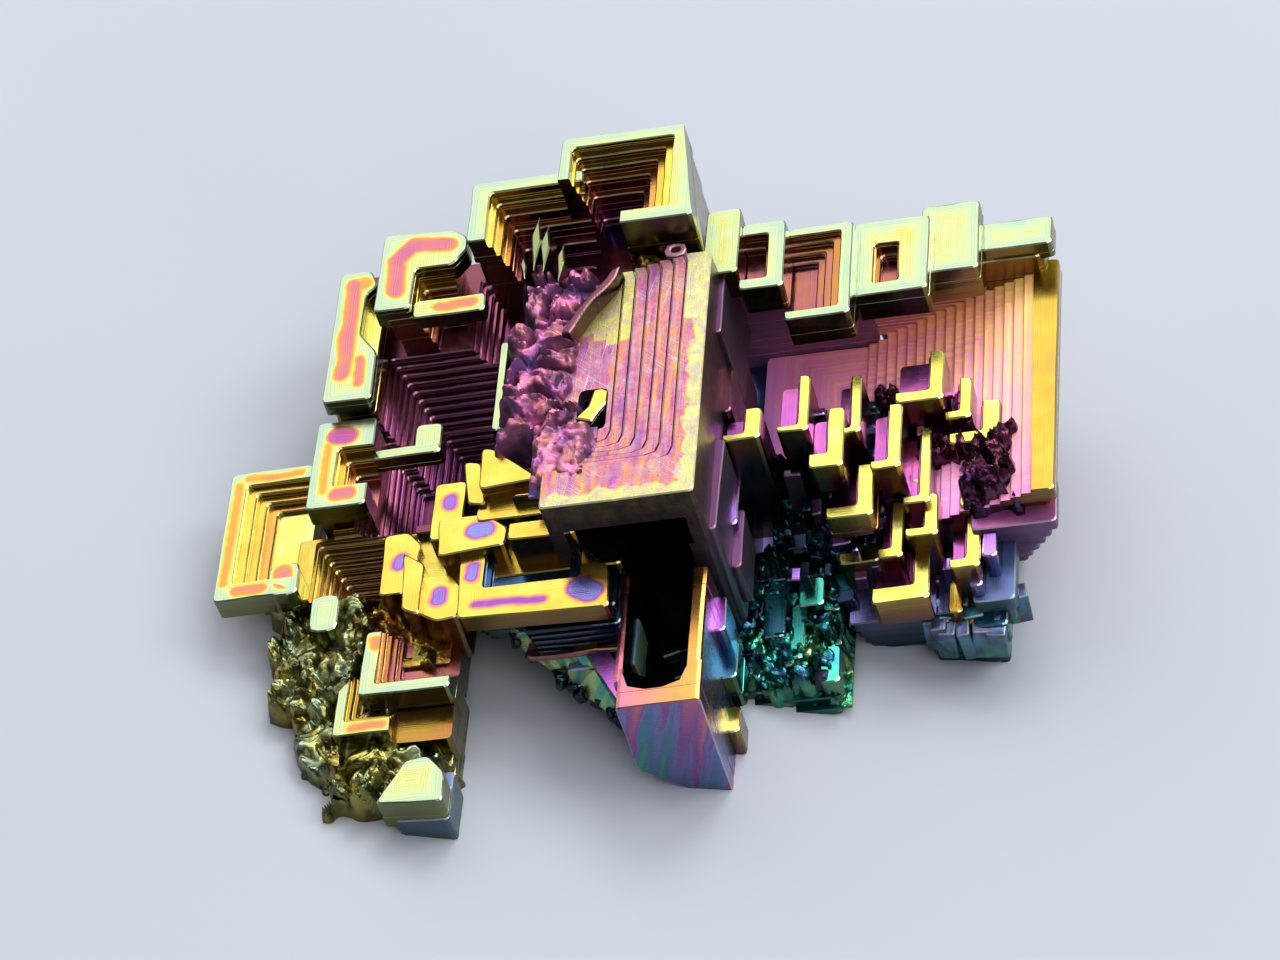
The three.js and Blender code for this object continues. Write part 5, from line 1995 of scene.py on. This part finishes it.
@dataclass(frozen=True)
class WornRoof(OxideFinish):
    """The middle crystal's roof: rubbed through to pink and gold, with yellow left in places.

    `band` is the width of its steps, counted from u = -`band_from`, and
    `unworn_to` the v behind which the film is whole on some of them. It is whole
    from `front_edge` in v and from `right_edge` in u, down to `roof_to` in w.
    `spots` and `streaks` are how far stipple and long streaks move the film, and
    `whole_film` how far it is moved where it is whole. `dust`, `pits` and
    `scratch_gain` are how strong the dust, the pits and the scratches are, and
    `dusty`, `pit_colour` and `scratch_colour` lie over the film. `scratch_ways`
    holds the scratches' turn in degrees, width and the limit of their noise, and
    `scratch_size` how long and deep they are.
    """
    name: str = "worn roof"
    roughness: float = 0.30
    ripple: float = 0.05
    bump: float = 0.25
    side_shade: float = 0.4
    drift_scale: float = 0.9
    unworn_to: float = -12.6
    band: float = 0.76
    band_from: float = 1.35
    front_edge: Pair = (-0.95, -0.75)
    right_edge: Pair = (-0.9, -0.7)
    roof_to: Pair = (1.2, 1.6)
    spots: float = 0.28
    streaks: float = 0.6
    whole_film: float = -0.28
    dust: float = 0.55
    pits: float = 0.8
    scratch_gain: float = 0.55
    dusty: Triple = (0.60, 0.38, 0.47)
    pit_colour: Triple = (0.16, 0.03, 0.04)
    scratch_colour: Triple = (0.86, 0.80, 0.74)
    scratch_ways: tuple[Triple, ...] = ((42.0, 0.05, 0.665), (-78.0, 0.07, 0.70))
    scratch_size: Pair = (3.2, 9.0)
    # painted shade: the roof's walls are mixed far towards near-black
    wall_shade_colour: Triple = (0.055, 0.05, 0.045)
    wall_shade_share: float = 0.75

    def unworn(self, spot: Spot) -> Socket:
        """Where the film is whole: the back of some bands, the front edge and the right rim.

        Args:
            spot: what the material knows of the spot.
        Returns:
            A mask.
        """
        graph = spot.graph
        u, v, w = graph.parts(spot.place)
        du, dv, _ = graph.parts(spot.drift)
        index = graph.math("FLOOR", graph.math("DIVIDE", graph.total(u, self.band_from), self.band))
        band = graph.node("TexWhiteNoise", {"W": index}, noise_dimensions="1D").outputs[0]
        limit = graph.total(v, graph.times(band, 2.5), dv)
        back = graph.times(graph.ease(limit, self.unworn_to + 1.3, self.unworn_to + 1.1),
                           graph.ease(band, 0.35, 0.36))
        front = graph.ease(graph.total(v, graph.times(du, 2.0)), *self.front_edge)
        right = graph.ease(graph.total(u, graph.times(dv, 1.6)), *self.right_edge)
        high = graph.ease(w, *self.roof_to, (1.0, 0.0))
        return graph.times(graph.most(back, front, right), high)

    def extra(self, spot: Spot) -> Socket:
        """Streaks and stipple from gold to violet, and pale film where it is whole.

        Args:
            spot: what the material knows of the spot.
        Returns:
            The extra thickness.
        """
        graph = spot.graph
        spots = graph.minus(graph.noise(spot.place, 4.5, 4.0, 0.7), 0.5)
        drawn = graph.vector("MULTIPLY", spot.place, (1.6, 0.22, 1.0))
        streaks = graph.minus(graph.noise(drawn, 1.6), 0.5)
        worn = graph.total(graph.times(spots, self.spots), graph.times(streaks, self.streaks))
        whole = self.unworn(spot)
        return graph.total(graph.times(worn, graph.minus(1.0, whole)), graph.times(whole, self.whole_film))

    def tint(self, spot: Spot, colour: Socket) -> Socket:
        """A dusty mauve haze, dark red pits and pale scratches over the film, and mottled walls.

        Args:
            spot: what the material knows of the spot.
            colour: the film's colour.
        Returns:
            The colour.
        """
        graph, place = spot.graph, spot.place
        haze = graph.times(graph.ease(graph.noise(place, 1.3, 3.0), 0.4, 0.65), self.dust)
        hazed = graph.mix(haze, colour, self.dusty)
        cells = graph.node("TexVoronoi", {"Vector": place, "Scale": 2.6}).outputs[0]
        pits = graph.times(graph.ease(cells, 0.14, 0.08), graph.ease(haze, 0.1, 0.3))
        pitted = graph.mix(graph.times(pits, self.pits), hazed, self.pit_colour)
        scratched = graph.mix(graph.times(self.scratches(spot), spot.up), pitted, self.scratch_colour)
        mottled = graph.ease(graph.noise(place, 1.1, 4.0, 0.65), 0.38, 0.62, (0.25, 1.2))
        return graph.scaled(scratched, graph.most(spot.up, mottled))

    def scratches(self, spot: Spot) -> Socket:
        """Thin straight scratches in two directions, in patches.

        A scratch is where a noise, drawn out along the scratches, passes a limit.

        Args:
            spot: what the material knows of the spot.
        Returns:
            A mask.
        """
        graph, found = spot.graph, []
        long, deep = self.scratch_size
        for turn, thin, limit in self.scratch_ways:
            turned = graph.node("Mapping", {0: spot.place, "Rotation": (0.0, 0.0, math.radians(turn)),
                                            "Scale": (long, thin, deep)}, vector_type="TEXTURE")
            drawn = graph.noise(turned.outputs[0], 1.0, 0.0)
            found.append(graph.ease(drawn, limit, limit + 0.03, (0.0, self.scratch_gain)))
        patch = graph.ease(graph.noise(spot.place, 0.35, 0.0), 0.46, 0.54)
        return graph.times(graph.most(*found), patch)

    def relief(self, spot: Spot) -> Socket:
        """Pitted metal."""
        return spot.graph.noise(spot.place, 6.0, 3.0, 0.7)


@dataclass(frozen=True)
class BladeFinish(OxideFinish):
    """The keel's blade, with broad slanting stripes of pink, violet, blue and orange.

    `slant` is the direction across the stripes and `stripes` their scale.
    """
    name: str = "keel blade"
    # painted shade: the blade's walls are mixed towards a grey lilac
    wall_shade_colour: Triple = (0.30, 0.26, 0.34)
    wall_shade_share: float = 0.22
    side_shade: float = 0.85
    side_shift: float = 0.11
    roughness: float = 0.26
    slant: Triple = (0.75, 0.1, 0.28)
    stripes: float = 1.3

    def extra(self, spot: Spot) -> Socket:
        """Stripes across the blade: noise along the slant, bent by the broad noise.

        Args:
            spot: what the material knows of the spot.
        Returns:
            The extra thickness.
        """
        graph = spot.graph
        across = graph.vector("DOT_PRODUCT", spot.place, self.slant, 1)
        bent = graph.total(across, graph.times(graph.parts(spot.drift)[0], 0.6))
        stripe = graph.minus(graph.line_noise(bent, self.stripes), 0.4)
        return graph.times(stripe, graph.minus(1.0, spot.up))


@dataclass(frozen=True)
class RoughGrowth(OxideFinish):
    """Rough growth: glossy lobes, with the film thicker in patches, patches of painted glint and painted
    shade, and painted shade in the creases.
    """
    name: str = "rough growth"
    roughness: float = 0.22
    metallic: float = 0.95
    # painted shade on the steep faces of the lobes
    side_shade: float = 0.6
    wall_shade_share: float = 0.15
    bump: float = 0.35
    ripple: float = 0.3
    patches: float = 0.4

    def extra(self, spot: Spot) -> Socket:
        """Wide swings of the film in patches."""
        graph = spot.graph
        return graph.times(graph.minus(graph.noise(spot.place, 0.7), 0.5), self.patches)

    def tint(self, spot: Spot, colour: Socket) -> Socket:
        """Patches of painted shade and painted glint: the colour times a noise from 0.45 to 1.35."""
        graph = spot.graph
        return graph.scaled(colour, graph.ease(graph.noise(spot.place, 0.9), 0.36, 0.62, (0.45, 1.35)))

    def relief(self, spot: Spot) -> Socket:
        """Small curls and grooves: |n - 0.5| for a noise n that another noise has bent.

        Args:
            spot: what the material knows of the spot.
        Returns:
            The height.
        """
        graph = spot.graph
        push = graph.node("TexNoise", {"Vector": spot.place, "Scale": 1.2}).outputs[1]
        curls = graph.noise(graph.vector("ADD", spot.place, push), 2.0)
        return graph.math("ABSOLUTE", graph.minus(curls, 0.5))


# ---- studio

def put_in_scene(name: str, data: bpy.types.ID) -> Object:
    """Makes an object of some data and links it to the scene.

    Args:
        name: the object's name.
        data: its mesh, light or camera.
    Returns:
        The object.
    """
    made = bpy.data.objects.new(name, data)
    bpy.context.scene.collection.objects.link(made)
    return made


@dataclass(frozen=True)
class Softbox:
    """A square soft light that looks at the origin from a place in metres, with its power in watts."""
    name: str
    place: Triple
    edge: float
    power: float

    def build(self) -> None:
        """Makes the light."""
        light = bpy.data.lights.new(self.name, "AREA")
        light.shape = "SQUARE"
        light.size = self.edge
        light.energy = self.power
        made = put_in_scene(self.name, light)
        made.location = self.place
        made.rotation_euler = (-Vector(self.place)).to_track_quat("-Z", "Y").to_euler()


@dataclass(frozen=True)
class Studio:
    """A plain pale floor, soft light and the camera.

    The sky's strength is `sky_least` plus its direction along `sky_rise`. The
    camera stands `distance` mm behind the lattice origin, and `shift_right` and
    `shift_up` move it across its line of sight.
    """
    floor_edge: float = 4.0
    floor_colour: Triple = (0.54, 0.57, 0.63)
    floor_cloud: Pair = (0.97, 1.03)
    sky: Triple = (0.93, 0.96, 1.0)
    sky_rise: Triple = (0.12, 0.28, 0.62)
    sky_least: float = 0.05
    boxes: tuple[Softbox, ...] = (
        Softbox("key", (-0.2, 0.4, 0.4), 0.6, 1.6),
        Softbox("back", (0.12, 0.4, 0.5), 0.25, 1.2),
        Softbox("side", (0.38, 0.1, 0.45), 0.3, 1.1),
        Softbox("fill", (0.1, -0.38, 0.5), 0.4, 0.7),
    )
    lens: float = 140.625
    sensor: float = 36.0
    nearest: float = 0.01
    distance: float = 263.158
    shift_right: float = 2.7895
    shift_up: float = -0.5263
    elevation: float = 45.0

    def floor(self) -> None:
        """The floor, a square grid of one face at z = 0."""
        half = self.floor_edge / 2
        mesh = bpy.data.meshes.new("floor")
        mesh.from_pydata([(-half, -half, 0), (half, -half, 0), (half, half, 0), (-half, half, 0)], [],
                         [(0, 1, 2, 3)])
        paper = bpy.data.materials.new("pale paper")
        paper.use_nodes = True
        graph = Graph(paper.node_tree)
        coords = graph.node("TexCoord").outputs["Object"]
        cloud = graph.ease(graph.noise(coords, 9.0, 3.0), 0.3, 0.7, self.floor_cloud)
        shader = graph.node("BsdfPrincipled", {"Base Color": graph.scaled(self.floor_colour, cloud),
                                               "Roughness": 0.9})
        graph.node("OutputMaterial", {"Surface": shader.outputs[0]})
        mesh.materials.append(paper)
        put_in_scene("floor", mesh)

    def world(self) -> None:
        """The pale sky, brightest overhead and behind."""
        world = bpy.data.worlds.new("pale sky")
        world.use_nodes = True
        graph = Graph(world.node_tree)
        toward = graph.node("TexCoord").outputs["Generated"]
        rise = graph.most(graph.vector("DOT_PRODUCT", toward, self.sky_rise, 1), 0.0)
        sky = graph.node("Background", {"Color": self.sky, "Strength": graph.total(rise, self.sky_least)})
        graph.node("OutputWorld", {"Surface": sky.outputs[0]})
        bpy.context.scene.world = world

    def camera(self) -> None:
        """The camera, which looks down over the front of the cluster."""
        pitch = math.radians(self.elevation)
        up = np.array([0.0, math.sin(pitch), math.cos(pitch)])
        back = np.array([0.0, -math.cos(pitch), math.sin(pitch)])
        spot = ORIGIN - self.shift_right * np.array([1.0, 0, 0]) - self.shift_up * up + self.distance * back
        lens = bpy.data.cameras.new("camera")
        lens.sensor_width = self.sensor
        lens.lens = self.lens
        lens.clip_start = self.nearest
        made = put_in_scene("camera", lens)
        made.location = spot * MM
        made.rotation_euler = (math.radians(90.0) - pitch, 0.0, 0.0)
        bpy.context.scene.camera = made

    def build(self) -> None:
        """Floor, sky, lights and camera."""
        bpy.context.scene.view_settings.view_transform = "Standard"
        self.floor()
        self.world()
        for box in self.boxes:
            box.build()
        self.camera()


# ---- the cluster

TABLE_EDGE = 120.0           # half the edge of the block below the resting plane, mm


def main() -> None:
    """Grows the cluster, dresses it and sets the studio."""
    logging.basicConfig(level=logging.INFO, format="%(name)s: %(message)s")
    forge = Forge()
    for part in (BackRow(), LeftFunnel(), MiddleCrystal(), GoldPlates(), FrontCrystal(), Keel(), LeftWing(),
                 Skyline(), RightFunnel(), Columns(), RightFoot(), SideCrystals(), RearFeet()):
        part.grow(forge)
    mesh = forge.joined("bismuth", Underside().crystals(), TABLE_EDGE)
    groups = Groups(lattice_group(), thickness_group(), colour_group(), lines_group(), pool_group())
    for finish in (OxideFinish(), WornRoof(), BladeFinish(), RoughGrowth()):
        mesh.materials.append(finish.material(groups))
        LOG.info("finish: %s", finish.name)
    cluster = put_in_scene("bismuth", mesh)
    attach(cluster, "root")
    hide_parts(NODE)
    LOG.info("cluster: %d faces", len(mesh.polygons))
    Studio().build()


if __name__ == "__main__":
    main()
